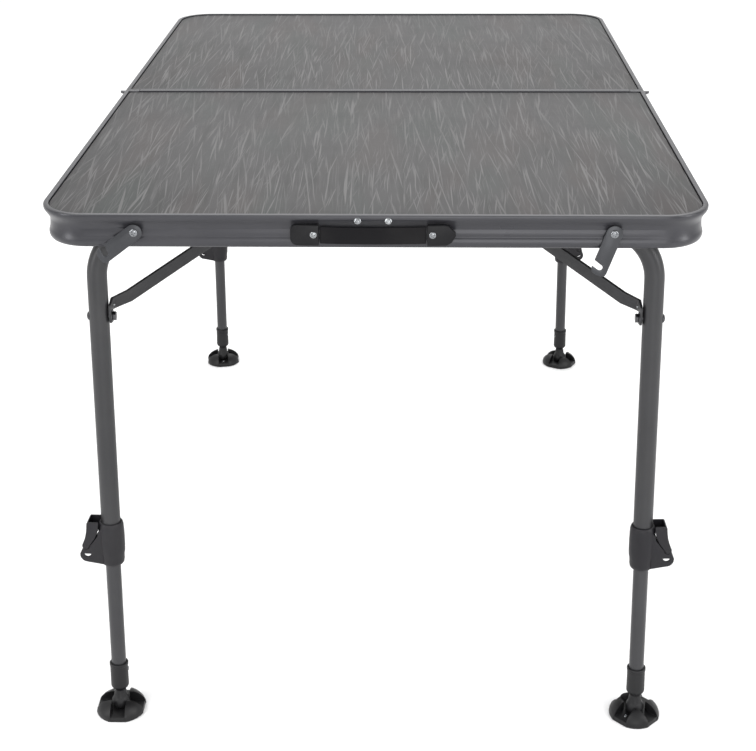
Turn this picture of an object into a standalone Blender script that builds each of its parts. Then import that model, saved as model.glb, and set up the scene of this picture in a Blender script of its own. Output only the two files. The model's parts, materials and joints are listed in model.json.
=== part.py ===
"""Folding table with a two-part top, telescopic U-shaped leg frames and swivel feet.

Metres, +Z up. The origin is on the floor under the middle of the open table, X runs
across its width and Y along its length. The carrying handle is on the -Y edge.
"""

import math

import bmesh
import bpy
from mathutils import Matrix, Vector

# Driving dimensions
LENGTH = 1.200
WIDTH = 0.800
HEIGHT = 0.727
CORNER_RADIUS = 0.058
RAIL_HEIGHT = 0.042
GAP = 0.0003

# Rail section, measured inwards from the lip's outer face and down from the lip's top
LIP_WIDTH = 0.0065
GROOVE_WIDTH = 0.0015
WALL_INNER = 0.0086
SEAT_INNER = 0.0220
SEAT_TOP = 0.0068
SEAT_BOTTOM = 0.0095
MID_RAIL_DEPTH = 0.0080

# Inlaid board
BOARD_TOP = 0.0018
BOARD_BOTTOM = 0.0065
SEAM_BOARD_RADIUS = 0.006

# Leg frames: pivot of the cross tube, and the lean of the legs
PIVOT_Y = 0.5515
PIVOT_DROP = 0.029
LEG_X = 0.3398
LEAN_Y = math.radians(2.83)
LEAN_X = math.radians(1.33)
BEND_RADIUS = 0.068
TUBE_RADIUS = 0.0125
TUBE_WALL = 0.0011
LOWER_RADIUS = 0.0100
LEG_STRETCH = math.sqrt(1 + math.tan(LEAN_X) ** 2 + math.tan(LEAN_Y) ** 2)

# Stations along a leg, measured from the cross tube's axis
UPPER_END = 0.4460
CLAMP_TOP = 0.4040
CLAMP_BOTTOM = 0.4655
LOWER_TOP = 0.3450
SLEEVE_TOP = 0.6219
SLEEVE_BOTTOM = 0.6620
FOOT_RADIUS = 0.0343
BALL_RADIUS = 0.0120
BALL_HEIGHT = 0.0140
CUP_CLEARANCE = 0.0004

# Clamp lever's hinge in the leg's own frame: outwards and up
LEVER_PIVOT = (0.0325, -0.4365)

# Brace yoke
BRACE_PIN_DROP = 0.1460
BRACE_WIDTH = 0.0165
BRACE_PLATE_X = 0.3272
YOKE_X = 0.0810
YOKE_Y = 0.2900
YOKE_DROP = 0.0350

# Seam hinges
HINGE_X = 0.250
HINGE_DROP = 0.0447
KNUCKLE_RADIUS = 0.0025
HINGE_PIN_RADIUS = 0.0012

# Hooks and their studs
HOOK_X = 0.283
HOOK_DROP = 0.0225
HOOK_WIDTH = 0.020
HOOK_LENGTH = 0.0460
HOOK_Y = -0.5978
HOOK_THICKNESS = 0.0015
HOOK_TURNS = {"left": -53.0, "right": -19.0}

# Handle
HANDLE_HALF = 0.0975
HANDLE_DROP = 0.0235
HANDLE_SLOT = 0.0630
STRAP_THICKNESS = 0.0030
STRAP_HEIGHT = 0.0210
CAP_HEIGHT = 0.0260

SIDES = 16

MATERIALS = {
    "rail_grey": ((0.085, 0.085, 0.090), 0.42, 0.55),
    "board_grey": ((0.170, 0.170, 0.172), 0.60, 0.00),
    "tube_grey": ((0.100, 0.100, 0.104), 0.40, 0.50),
    "brace_grey": ((0.060, 0.060, 0.064), 0.45, 0.60),
    "clamp_black": ((0.045, 0.043, 0.048), 0.55, 0.00),
    "foot_black": ((0.022, 0.022, 0.024), 0.60, 0.00),
    "cap_grey": ((0.060, 0.060, 0.062), 0.55, 0.00),
    "handle_black": ((0.018, 0.018, 0.020), 0.50, 0.00),
    "steel": ((0.420, 0.420, 0.430), 0.30, 1.00),
    "slider_white": ((0.550, 0.550, 0.540), 0.50, 0.00),
}


def clear_scene():
    for item in list(bpy.data.objects):
        bpy.data.objects.remove(item)


def collection(name):
    made = bpy.data.collections.new(name)
    bpy.context.scene.collection.children.link(made)
    return made


def material(name):
    found = bpy.data.materials.get(name)
    if found:
        return found
    colour, roughness, metallic = MATERIALS[name]
    made = bpy.data.materials.new(name)
    made.use_nodes = True
    shader = made.node_tree.nodes["Principled BSDF"]
    shader.inputs["Base Color"].default_value = (*colour, 1.0)
    shader.inputs["Roughness"].default_value = roughness
    shader.inputs["Metallic"].default_value = metallic
    made.diffuse_color = (*colour, 1.0)
    return made


clear_scene()
TABLE = collection("folding_table")
CUTTERS = collection("cutters")


def add(name, data, finish, matrix=None):
    """Link a new sub-part. Its matrix places the shape in the table."""
    made = bpy.data.objects.new(name, data)
    TABLE.objects.link(made)
    if finish:
        data.materials.append(material(finish))
    if matrix is not None:
        made.matrix_world = matrix
    return made


def to_mesh(source, weld=True):
    """Replace a curve, or an object with modifiers, by the mesh that it makes."""
    bpy.context.view_layer.update()
    graph = bpy.context.evaluated_depsgraph_get()
    mesh = bpy.data.meshes.new_from_object(source.evaluated_get(graph))
    if weld:
        work = bmesh.new()
        work.from_mesh(mesh)
        bmesh.ops.remove_doubles(work, verts=work.verts, dist=0.00001)
        bmesh.ops.recalc_face_normals(work, faces=work.faces)
        work.to_mesh(mesh)
        work.free()
    made = bpy.data.objects.new(source.name, mesh)
    for owner in source.users_collection:
        owner.objects.link(made)
    made.matrix_world = source.matrix_world.copy()
    name = source.name
    bpy.data.objects.remove(source)
    made.name = name
    return made


def as_cutter(item):
    for owner in list(item.users_collection):
        owner.objects.unlink(item)
    CUTTERS.objects.link(item)
    item.hide_render = True
    item.display_type = "WIRE"
    return item


def boolean(target, tool, operation="DIFFERENCE"):
    as_cutter(tool)
    step = target.modifiers.new(operation.lower() + "_" + tool.name, "BOOLEAN")
    step.operation = operation
    step.object = tool


def cylinder(name, radius, low, high, finish=None, sides=SIDES, matrix=None):
    """A rod along its own Z, from low to high."""
    mesh = bpy.data.meshes.new(name)
    work = bmesh.new()
    bmesh.ops.create_cone(
        work, cap_ends=True, segments=sides, radius1=radius, radius2=radius, depth=high - low
    )
    bmesh.ops.translate(work, verts=work.verts, vec=(0, 0, (low + high) / 2))
    work.to_mesh(mesh)
    work.free()
    return add(name, mesh, finish, matrix)


def box(name, low, high, finish=None, bevel=0.0, matrix=None):
    """A block between two corners, with its edges eased when bevel is given."""
    mesh = bpy.data.meshes.new(name)
    work = bmesh.new()
    bmesh.ops.create_cube(work, size=1)
    span = [b - a for a, b in zip(low, high)]
    bmesh.ops.scale(work, verts=work.verts, vec=span)
    bmesh.ops.translate(work, verts=work.verts, vec=[(a + b) / 2 for a, b in zip(low, high)])
    work.to_mesh(mesh)
    work.free()
    made = add(name, mesh, finish, matrix)
    if bevel:
        ease = made.modifiers.new("eased_edges", "BEVEL")
        ease.width = bevel
        ease.segments = 1
    return made


def turned(name, profile, finish, closed=False, sides=SIDES, matrix=None):
    """Revolve (radius, height) points about Z. The outer side runs from top to bottom."""
    mesh = bpy.data.meshes.new(name)
    count = len(profile)
    edges = [(n, n + 1) for n in range(count - 1)]
    if closed:
        edges.append((count - 1, 0))
    mesh.from_pydata([(r, 0, z) for r, z in profile], edges, [])
    made = add(name, mesh, finish, matrix)
    spin = made.modifiers.new("turned", "SCREW")
    spin.steps = sides
    spin.render_steps = sides
    spin.use_merge_vertices = True
    spin.merge_threshold = 0.00001
    return made


def plate(name, outlines, thickness, finish, matrix=None):
    """A flat piece: outlines in its own XY, thickness centred on its own Z."""
    data = bpy.data.curves.new(name, "CURVE")
    data.dimensions = "2D"
    data.fill_mode = "BOTH"
    data.extrude = thickness / 2
    for outline in outlines:
        spline = data.splines.new("POLY")
        spline.points.add(len(outline) - 1)
        for point, (x, y) in zip(spline.points, outline):
            point.co = (x, y, 0, 1)
        spline.use_cyclic_u = True
    return add(name, data, finish, matrix)


def arc(centre, radius, start, end, steps):
    """Points on an arc. The angles are in degrees."""
    points = []
    for n in range(steps + 1):
        angle = math.radians(start + (end - start) * n / steps)
        points.append(
            (centre[0] + radius * math.cos(angle), centre[1] + radius * math.sin(angle))
        )
    return points


def across_x(x=0.0, y=0.0, z=0.0):
    """A plate's own X and Y become Y and Z, and its thickness runs along X."""
    return Matrix(((0, 0, 1, x), (1, 0, 0, y), (0, 1, 0, z), (0, 0, 0, 1)))


def across_y(x=0.0, y=0.0, z=0.0):
    """A plate's own X and Y become X and Z, and its thickness runs along Y."""
    return Matrix(((1, 0, 0, x), (0, 0, -1, y), (0, 1, 0, z), (0, 0, 0, 1)))


def rod_x(x=0.0, y=0.0, z=0.0):
    """A rod's own Z becomes X."""
    return Matrix(((0, 0, 1, x), (0, 1, 0, y), (-1, 0, 0, z), (0, 0, 0, 1)))


def rod_y(x=0.0, y=0.0, z=0.0):
    """A rod's own Z becomes Y."""
    return Matrix(((1, 0, 0, x), (0, 0, 1, y), (0, -1, 0, z), (0, 0, 0, 1)))


def loft(name, rings, finish, matrix=None):
    """Skin between rings with the same number of points, closed at both ends."""
    mesh = bpy.data.meshes.new(name)
    work = bmesh.new()
    rows = [[work.verts.new(point) for point in ring] for ring in rings]
    count = len(rows[0])
    for one, two in zip(rows, rows[1:]):
        for n in range(count):
            work.faces.new((one[n], one[(n + 1) % count], two[(n + 1) % count], two[n]))
    work.faces.new(rows[0])
    work.faces.new(rows[-1])
    bmesh.ops.recalc_face_normals(work, faces=work.faces)
    work.to_mesh(mesh)
    work.free()
    return add(name, mesh, finish, matrix)


def pipe(name, route, radius, wall, finish, matrix=None):
    """A hollow tube along a route, open at both ends."""
    data = bpy.data.curves.new(name, "CURVE")
    data.dimensions = "3D"
    data.bevel_depth = radius
    data.bevel_resolution = 4
    data.use_fill_caps = False
    spline = data.splines.new("POLY")
    spline.points.add(len(route) - 1)
    for point, place in zip(spline.points, route):
        point.co = (*place, 1)
    made = to_mesh(add(name, data, None, matrix))
    made.data.materials.append(material(finish))
    shell = made.modifiers.new("tube_wall", "SOLIDIFY")
    shell.thickness = wall
    shell.offset = -1
    return made


# --- Top: rails, boards, seam pieces ---------------------------------------------------


def rail_section(seat=True):
    """(outward, up) points of the rail, from the lip's outer face and top."""
    outer = [
        (-LIP_WIDTH, 0),
        (-0.0012, 0),
        (0, -0.0012),
        (0, -0.0060),
        (-0.0035, -0.0085),
        (-0.0060, -0.0130),
        (-0.0068, -0.0195),
        (-0.0062, -0.0265),
        (-0.0046, -0.0320),
        (-0.0043, -0.0360),
        (-0.0052, -0.0395),
        (-0.0070, -RAIL_HEIGHT),
    ]
    inner = [(-WALL_INNER, -0.0405), (-WALL_INNER, -SEAT_BOTTOM)]
    if seat:
        inner += [(-SEAT_INNER, -SEAT_BOTTOM), (-SEAT_INNER, -SEAT_TOP)]
        inner += [(-LIP_WIDTH, -SEAT_TOP)]
    return outer + inner


def side_rail(name, sign, end):
    """The bent rail round three sides of one half of the top. It stops at y = end."""
    route = [(WIDTH / 2, sign * end)]
    x = WIDTH / 2 - CORNER_RADIUS
    y = LENGTH / 2 - CORNER_RADIUS
    for start, centre_x in ((0, x), (90, -x)):
        for px, py in arc((centre_x, y), CORNER_RADIUS, start, start + 90, 7):
            route.append((px, sign * py))
    route.append((-WIDTH / 2, sign * end))
    rings = []
    for n, place in enumerate(route):
        before = Vector(route[max(n - 1, 0)])
        after = Vector(route[min(n + 1, len(route) - 1)])
        along = (after - before).normalized()
        outward = Vector((along.y, -along.x)) * sign
        here = Vector(place)
        rings.append([(*(here + outward * out), HEIGHT + up) for out, up in rail_section()])
    return loft(name, rings, "rail_grey")


def mid_rail(name, sign):
    """The straight rail along the seam. Its two ends stop at the side rails' seats."""
    foot = -RAIL_HEIGHT
    section = [
        (GAP, 0),
        (LIP_WIDTH, 0),
        (LIP_WIDTH, -SEAT_TOP),
        (SEAT_INNER, -SEAT_TOP),
        (SEAT_INNER, -SEAT_BOTTOM),
        (0.0026, -SEAT_BOTTOM),
        (0.0026, foot + 0.0018),
        (MID_RAIL_DEPTH, foot + 0.0018),
        (MID_RAIL_DEPTH, foot),
        (GAP, foot),
    ]
    outline = [(sign * y, HEIGHT + z) for y, z in section]
    length = 2 * (WIDTH / 2 - SEAT_INNER - 2 * GAP)
    return plate(name, [outline], length, "rail_grey", across_x())


def board(name, sign):
    """The inlaid board of one half, resting on the rails' seats."""
    edge = LIP_WIDTH + GROOVE_WIDTH
    radius = CORNER_RADIUS - edge
    x = WIDTH / 2 - edge
    y = LENGTH / 2 - edge
    near = edge
    small = SEAM_BOARD_RADIUS
    outline = arc((x - radius, y - radius), radius, 0, 90, 6)
    outline += arc((radius - x, y - radius), radius, 90, 180, 6)
    outline += arc((small - x, near + small), small, 180, 270, 3)
    outline += arc((x - small, near + small), small, 270, 360, 3)
    outline = [(px, sign * py) for px, py in outline]
    middle = HEIGHT - (BOARD_TOP + BOARD_BOTTOM) / 2
    return plate(
        name,
        [outline],
        BOARD_BOTTOM - BOARD_TOP,
        "board_grey",
        Matrix.Translation((0, 0, middle)),
    )


def seam_cap(name, side, sign, length, lug, finish):
    """The moulded corner piece that closes a side rail's end at the seam."""
    section = [(side * (WIDTH / 2 + out), HEIGHT + up) for out, up in rail_section()]
    middle = sign * (GAP + length / 2)
    cap = to_mesh(plate(name, [section], length, None, across_y(y=middle)))
    cap.data.materials.append(material(finish))

    def corner(out, y, up):
        return (side * (WIDTH / 2 - out), sign * y, HEIGHT - up)

    def block(label, one, two):
        low = [min(a, b) for a, b in zip(one, two)]
        high = [max(a, b) for a, b in zip(one, two)]
        return box(name + label, low, high)

    inner = SEAT_INNER
    plug = block("_plug", corner(inner, GAP, SEAT_TOP + 0.001), corner(0.0075, 0.010, 0.0412))
    strip = block("_strip", corner(inner, GAP, 0), corner(0.003, LIP_WIDTH, SEAT_TOP + 0.0005))
    boolean(cap, plug, "UNION")
    boolean(cap, strip, "UNION")
    if lug:
        reach, run = lug
        ear = [(WIDTH / 2 - 0.001, GAP), (WIDTH / 2 + reach, GAP)]
        ear += [(WIDTH / 2 + reach, 0.0030), (WIDTH / 2 + 0.0006, run)]
        ear += [(WIDTH / 2 + 0.0006, length), (WIDTH / 2 - 0.001, length - 0.0006)]
        ear = [(side * x, sign * y) for x, y in ear]
        wing = plate(name + "_wing", [ear], 0.0040, None, Matrix.Translation((0, 0, HEIGHT - 0.0030)))
        boolean(cap, to_mesh(wing), "UNION")
    return cap


def seam_hinge(side):
    """One butt hinge under the seam: a front leaf with its pin, and a rear leaf."""
    reach = 0.020
    knuckle = 0.0080
    axis_z = HEIGHT - HINGE_DROP
    leaf_top = HEIGHT - RAIL_HEIGHT - GAP
    leaf_low = leaf_top - 0.0014
    x = side * HINGE_X
    label = "left" if side < 0 else "right"
    front = box(
        "front_hinge_leaf_" + label,
        (x - reach, -0.0240, leaf_low),
        (x + reach, -0.0036, leaf_top),
        "steel",
    )
    rear = box(
        "rear_hinge_leaf_" + label,
        (x - reach, 0.0036, leaf_low),
        (x + reach, 0.0240, leaf_top),
        "steel",
    )
    for end in (-1, 1):
        middle = x + end * (knuckle + reach) / 2
        half = (reach - knuckle) / 2 - 0.0002
        barrel = cylinder(
            f"knuckle_{label}_{end}", KNUCKLE_RADIUS, -half, half, None, 12, rod_x(middle, 0, axis_z)
        )
        web = box(
            f"knuckle_web_{label}_{end}",
            (middle - half + 0.0001, -0.0042, leaf_low + 0.0001),
            (middle + half - 0.0001, -0.0004, leaf_top - 0.0003),
        )
        boolean(front, barrel, "UNION")
        boolean(front, web, "UNION")
    pin = cylinder(
        "hinge_pin_" + label,
        HINGE_PIN_RADIUS,
        -reach + 0.001,
        reach - 0.001,
        None,
        12,
        rod_x(x, 0, axis_z),
    )
    boolean(front, pin, "UNION")
    half = knuckle - 0.0002
    sleeve = turned(
        "hinge_sleeve_" + label,
        [(KNUCKLE_RADIUS, half), (KNUCKLE_RADIUS, -half), (0.0015, -half), (0.0015, half)],
        None,
        closed=True,
        sides=12,
        matrix=rod_x(x, 0, axis_z),
    )
    web = box(
        "sleeve_web_" + label,
        (x - half + 0.0001, 0.0018, leaf_low + 0.0001),
        (x + half - 0.0001, 0.0042, leaf_top - 0.0003),
    )
    boolean(rear, to_mesh(sleeve), "UNION")
    boolean(rear, web, "UNION")


def bearing(name, side, sign):
    """The moulded block that carries the leg frame's cross tube under the board."""
    y = sign * PIVOT_Y
    z = HEIGHT - PIVOT_DROP
    half = 0.0170
    top = HEIGHT - BOARD_BOTTOM - GAP
    bottom = z - 0.0149
    outline = [(y - half, top), (y - half, top - 0.006), (y - 0.0155, z)]
    outline += arc((y, z), 0.0149, 195, 345, 8)
    outline += [(y + 0.0155, z), (y + half, top - 0.006), (y + half, top)]
    outline[3:-3] = [(py, max(pz, bottom)) for py, pz in outline[3:-3]]
    bore = arc((y, z), TUBE_RADIUS + 0.0007, 0, 345, 23)
    return plate(name, [outline, bore], 0.022, "clamp_black", across_x(x=side * 0.2480))


def guide(name, sign):
    """The channel under the board that the yoke's slider runs in. It is open below."""
    top = HEIGHT - BOARD_BOTTOM - GAP
    inner = 0.0106
    wall = 0.0015
    depth = 0.0125
    outline = [(-inner - wall, top), (-inner - wall, top - depth), (-inner, top - depth)]
    outline += [(-inner, top - wall), (inner, top - wall), (inner, top - depth)]
    outline += [(inner + wall, top - depth), (inner + wall, top)]
    return plate(name, [outline], 0.190, "rail_grey", across_y(y=sign * 0.2175))


# --- Legs --------------------------------------------------------------------------------


def leg_axes(side, sign):
    """A leg's own frame: origin on the cross tube's line, Z up the leg, X outwards."""
    down = Vector((side * math.tan(LEAN_X), sign * math.tan(LEAN_Y), -1)).normalized()
    up = -down
    out = Vector((side, 0, 0))
    out = (out - up * out.dot(up)).normalized()
    across = up.cross(out)
    place = Matrix((out, across, up)).transposed().to_4x4()
    place.translation = Vector((side * LEG_X, sign * PIVOT_Y, HEIGHT - PIVOT_DROP))
    return place


def leg_point(side, sign, station):
    return leg_axes(side, sign) @ Vector((0, 0, -station))


def leg_frame(name, sign):
    """The U-shaped upper frame: a cross tube with a leg bent down at each end."""
    bend = BEND_RADIUS
    turn = math.radians(90) - LEAN_X
    setback = bend * math.tan(turn / 2)
    corner = LEG_X - setback
    side_route = [(corner, 0.0)]
    steps = 7
    for n in range(1, steps + 1):
        angle = turn * n / steps
        side_route.append((corner + bend * math.sin(angle), -bend * (1 - math.cos(angle))))
    drop = UPPER_END / LEG_STRETCH
    side_route.append((LEG_X + drop * math.tan(LEAN_X), -drop / math.cos(LEAN_Y)))
    flat = [(-x, z) for x, z in reversed(side_route)] + side_route
    route = [(x, sign * -z * math.sin(LEAN_Y), z * math.cos(LEAN_Y)) for x, z in flat]
    place = Matrix.Translation((0, sign * PIVOT_Y, HEIGHT - PIVOT_DROP))
    frame = pipe(name, route, TUBE_RADIUS, TUBE_WALL, "tube_grey", place)
    for side in (-1, 1):
        x, y, z = brace_pin_place(side, sign)
        hole = cylinder(
            f"{name}_pin_hole_{side}", 0.0034, -0.02, 0.02, None, 12, rod_x(side * 0.3425, y, z)
        )
        boolean(frame, hole)
    return frame


def brace_pin_place(side, sign):
    """Where the brace's pin crosses the leg's axis plane."""
    drop = BRACE_PIN_DROP - PIVOT_DROP
    return (side * BRACE_PLATE_X, sign * (PIVOT_Y + drop * math.tan(LEAN_Y)), HEIGHT - BRACE_PIN_DROP)


def brace_pin(name, side, sign):
    """The bolt through the leg that the brace turns on, with its head outside."""
    x, y, z = brace_pin_place(side, sign)
    profile = [
        (0, 0.0320),
        (0.0050, 0.0316),
        (0.0058, 0.0300),
        (0.0058, 0.0284),
        (0.0030, 0.0284),
        (0.0030, -0.0028),
        (0.0052, -0.0028),
        (0.0046, -0.0058),
        (0, -0.0064),
    ]
    return turned(name, profile, "steel", sides=12, matrix=outward_rod(side, abs(x), y, z))


def flattened(centre, along, normal, width, thickness, points=8):
    """A ring round a bar: a block with eased edges, its short side along normal."""
    wide = along.cross(normal).normalized()
    ring = []
    for n in range(points):
        angle = 2 * math.pi * (n + 0.5) / points
        across = math.copysign(abs(math.cos(angle)) ** 0.4, math.cos(angle))
        through = math.copysign(abs(math.sin(angle)) ** 0.4, math.sin(angle))
        ring.append(centre + wide * (width / 2 * across) + normal * (thickness / 2 * through))
    return ring


def brace(name, side, sign):
    """A flat bar from the leg's pin in to the slider, bent about upright lines at its ends."""
    pin = Vector(brace_pin_place(side, sign))
    far = Vector((side * YOKE_X, sign * YOKE_Y, HEIGHT - YOKE_DROP))
    out = Vector((1, 0, 0))
    up = Vector((0, 0, 1))
    shoulder = pin + Vector((0, -sign * 0.0010, 0.0150))
    run = (far - shoulder).normalized()
    level = run.cross(up).normalized()
    if level.x < 0:
        level = -level
    near_end = (run - out * run.dot(out)).normalized()
    between = (out + level).normalized()
    turn_up = (near_end + up).normalized()
    wide = BRACE_WIDTH
    stations = [
        (pin - up * 0.0085, up, out, wide * 0.45, 0.0028),
        (pin - up * 0.0060, up, out, wide * 0.80, 0.0030),
        (pin, up, out, wide * 0.92, 0.0032),
        (pin + up * 0.0080, up, out, wide * 0.96, 0.0032),
        (shoulder + turn_up * 0.0010, turn_up, out, wide * 1.05, 0.0034),
        (shoulder + near_end * 0.0110 - out * side * 0.0020, near_end, between, wide, 0.0040),
        (shoulder + run * 0.0300, run, level, wide, 0.0046),
        (far - run * 0.0250, run, level, wide, 0.0046),
        (far - near_end * 0.0090 + out * side * 0.0010, near_end, between, wide, 0.0036),
        (far, near_end, out, wide * 0.96, 0.0032),
        (far + near_end * 0.0060, near_end, out, wide * 0.80, 0.0030),
        (far + near_end * 0.0085, near_end, out, wide * 0.45, 0.0028),
    ]
    made = loft(name, [flattened(*station) for station in stations], "brace_grey")
    for label, place in (("_near_hole", pin), ("_far_hole", far)):
        hole = cylinder(name + label, 0.0034, -0.01, 0.01, None, 12, rod_x(*place))
        boolean(made, hole)
    return made


def slider(name, sign):
    """The bridge between the two braces, with pins at its ends and a shoe for the guide."""
    z = HEIGHT - YOKE_DROP
    y = sign * YOKE_Y
    ear = YOKE_X - 0.0026
    low = z + 0.0105
    made = box(name, (-ear, y - 0.0100, low), (ear, y + 0.0100, low + 0.0020), "steel")
    shoe = box(name + "_shoe", (-0.0100, y - 0.0150, low + 0.0012), (0.0100, y + 0.0150, z + 0.0200))
    boolean(made, shoe, "UNION")
    for side in (-1, 1):
        ends = sorted((side * ear, side * (ear - 0.0020)))
        tab_low = (ends[0], y - 0.0075, z - 0.0075)
        tab_high = (ends[1], y + 0.0075, low + 0.0005)
        boolean(made, box(f"{name}_tab_{side}", tab_low, tab_high), "UNION")
        place = outward_rod(side, ear - 0.0010, y, z)
        pin = cylinder(f"{name}_pin_{side}", 0.0030, 0, 0.0085, None, 12, place)
        boolean(made, pin, "UNION")
    return made


def outward_rod(side, x, y, z):
    """A rod's own Z points away from the table's middle plane."""
    return rod_x(x, y, z) if side > 0 else Matrix.Rotation(math.pi, 4, "Z") @ rod_x(x, -y, z)


def clamp_collar(name, side, sign):
    """The clamp's fixed body on the end of the upper tube, with its tongue outwards."""
    outer = 0.0170
    chamfer = 0.0015
    profile = [
        (outer - chamfer, -CLAMP_TOP),
        (outer, -CLAMP_TOP - chamfer),
        (outer, -CLAMP_BOTTOM + 0.006),
        (outer - 0.0016, -CLAMP_BOTTOM),
        (0.0134, -CLAMP_BOTTOM),
        (0.0134, -CLAMP_BOTTOM + 0.0085),
        (0.01035, -CLAMP_BOTTOM + 0.0090),
        (0.01035, -UPPER_END - 0.0006),
        (0.0130, -UPPER_END - 0.0004),
        (0.0130, -CLAMP_TOP),
    ]
    place = leg_axes(side, sign)
    body = to_mesh(turned(name, profile, None, closed=True, matrix=place))
    body.data.materials.append(material("clamp_black"))
    px, pz = LEVER_PIVOT
    outline = [(0.0146, -0.4605), (0.0290, -0.4605)]
    outline += arc((0.0290, -0.4500), 0.0105, -70, 0, 4)
    outline += [(0.0372, -0.4400)]
    outline += arc((px, pz), 0.0048, 10, 150, 5)
    outline += [(0.0225, -0.4290), (0.0170, -0.4235), (0.0146, -0.4220)]
    tongue = to_mesh(plate(name + "_tongue", [outline], 0.0200, None, place @ across_y()))
    boolean(body, tongue, "UNION")
    moon = [(px - 0.0062, -0.4490), (px + 0.0020, -0.4490)]
    moon += arc((px - 0.0021, -0.4490), 0.0041, -20, -160, 5)
    window = to_mesh(plate(name + "_window", [moon], 0.0300, None, place @ across_y()))
    boolean(body, window)
    pin_hole = cylinder(
        name + "_pin_hole", 0.0021, -0.015, 0.015, None, 12, place @ rod_y(px, 0, pz)
    )
    boolean(body, pin_hole)
    return body


def clamp_lever(name, side, sign):
    """The clamp's lever: a channel that straddles the tongue and swings outwards."""
    px, pz = LEVER_PIVOT
    place = leg_axes(side, sign)
    top = -0.4020
    outline = [(0.0144, top), (0.0290, top), (0.0306, top - 0.0016), (0.0350, -0.4230)]
    outline += arc((px, pz), 0.0049, 20, -120, 5)
    outline += [(0.0255, -0.4330), (0.0200, -0.4250), (0.0166, -0.4170), (0.0148, -0.4090)]
    lever = to_mesh(plate(name, [outline], 0.0250, None, place @ across_y()))
    lever.data.materials.append(material("clamp_black"))
    hollow = [(0.0050, top + 0.01), (0.0284, top + 0.01), (0.0330, -0.4270)]
    hollow += [(0.0450, -0.4280), (0.0450, -0.4500), (0.0050, -0.4500)]
    cavity = to_mesh(plate(name + "_cavity", [hollow], 0.0206, None, place @ across_y()))
    boolean(lever, cavity)
    pin = cylinder(name + "_pin", 0.0017, -0.0120, 0.0120, None, 12, place @ rod_y(px, 0, pz))
    boolean(lever, pin, "UNION")
    return lever


def lower_tube(name, side, sign):
    inner = LOWER_RADIUS - TUBE_WALL
    bottom = -SLEEVE_BOTTOM + 0.009
    profile = [
        (LOWER_RADIUS, -LOWER_TOP),
        (LOWER_RADIUS, bottom),
        (inner, bottom),
        (inner, -LOWER_TOP),
    ]
    return turned(name, profile, "tube_grey", closed=True, matrix=leg_axes(side, sign))


def ball_station():
    """How far down a leg the foot's ball sits."""
    return (HEIGHT - PIVOT_DROP - BALL_HEIGHT) * LEG_STRETCH


def foot_sleeve(name, side, sign):
    """The moulded end of the lower tube: a socket, a waist and the foot's ball."""
    centre = -ball_station()
    top = -SLEEVE_TOP
    bottom = -SLEEVE_BOTTOM
    hole = LOWER_RADIUS + 0.0003
    profile = [
        (hole, top),
        (TUBE_RADIUS - 0.0006, top),
        (TUBE_RADIUS, top - 0.0008),
        (TUBE_RADIUS, bottom + 0.0030),
        (0.0078, bottom - 0.0010),
        (0.0072, bottom - 0.0070),
        (0.0069, centre + 0.0102),
    ]
    for degrees in range(55, -91, -29):
        angle = math.radians(degrees)
        profile.append(
            (max(BALL_RADIUS * math.cos(angle), 0), centre + BALL_RADIUS * math.sin(angle))
        )
    profile[-1] = (0, centre - BALL_RADIUS)
    floor = bottom + 0.0085
    profile = [(0, floor), (hole, floor)] + profile
    return turned(name, profile, "foot_black", matrix=leg_axes(side, sign))


def foot_pad(name, side, sign):
    """The swivel foot: a domed disc with a cup for the ball. Its sole lies on the floor."""
    centre = BALL_HEIGHT
    cup = BALL_RADIUS + CUP_CLEARANCE
    profile = []
    for degrees in range(-90, 21, 22):
        angle = math.radians(degrees)
        profile.append((max(cup * math.cos(angle), 0), centre + cup * math.sin(angle)))
    profile[0] = (0, centre - cup)
    profile += [
        (0.0128, 0.0199),
        (0.0150, 0.0210),
        (0.0230, 0.0185),
        (0.0300, 0.0125),
        (FOOT_RADIUS, 0.0050),
        (FOOT_RADIUS, 0.0012),
        (FOOT_RADIUS - 0.0012, 0),
        (0, 0),
    ]
    place = leg_point(side, sign, ball_station())
    place = Matrix.Translation((place.x, place.y, 0))
    return turned(name, profile, "foot_black", sides=20, matrix=place)


# --- Handle and hooks --------------------------------------------------------------------


def handle():
    z = HEIGHT - HANDLE_DROP
    face = -LENGTH / 2
    half = HANDLE_SLOT - GAP
    front = [(-half, 0.0008), (-0.7 * half, 0.0022), (0, 0.0030), (0.7 * half, 0.0022), (half, 0.0008)]
    outline = [(x, face - bulge) for x, bulge in front]
    outline += [(x, face - bulge - STRAP_THICKNESS) for x, bulge in reversed(front)]
    place = Matrix.Translation((0, 0, z))
    plate("handle_strap", [outline], STRAP_HEIGHT, "handle_black", place)
    inner = HANDLE_SLOT + GAP
    for side, label in ((-1, "left"), (1, "right")):
        ends = [(inner, 0.0012), (inner, -0.0052), (HANDLE_HALF - 0.0060, -0.0052)]
        ends += [(HANDLE_HALF, -0.0020), (HANDLE_HALF, 0.0028), (inner, 0.0028)]
        ends = [(side * x, face + y) for x, y in ends]
        if label == "left":
            ends.reverse()
        plate("handle_cap_" + label, [ends], CAP_HEIGHT, "handle_black", place)


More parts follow.
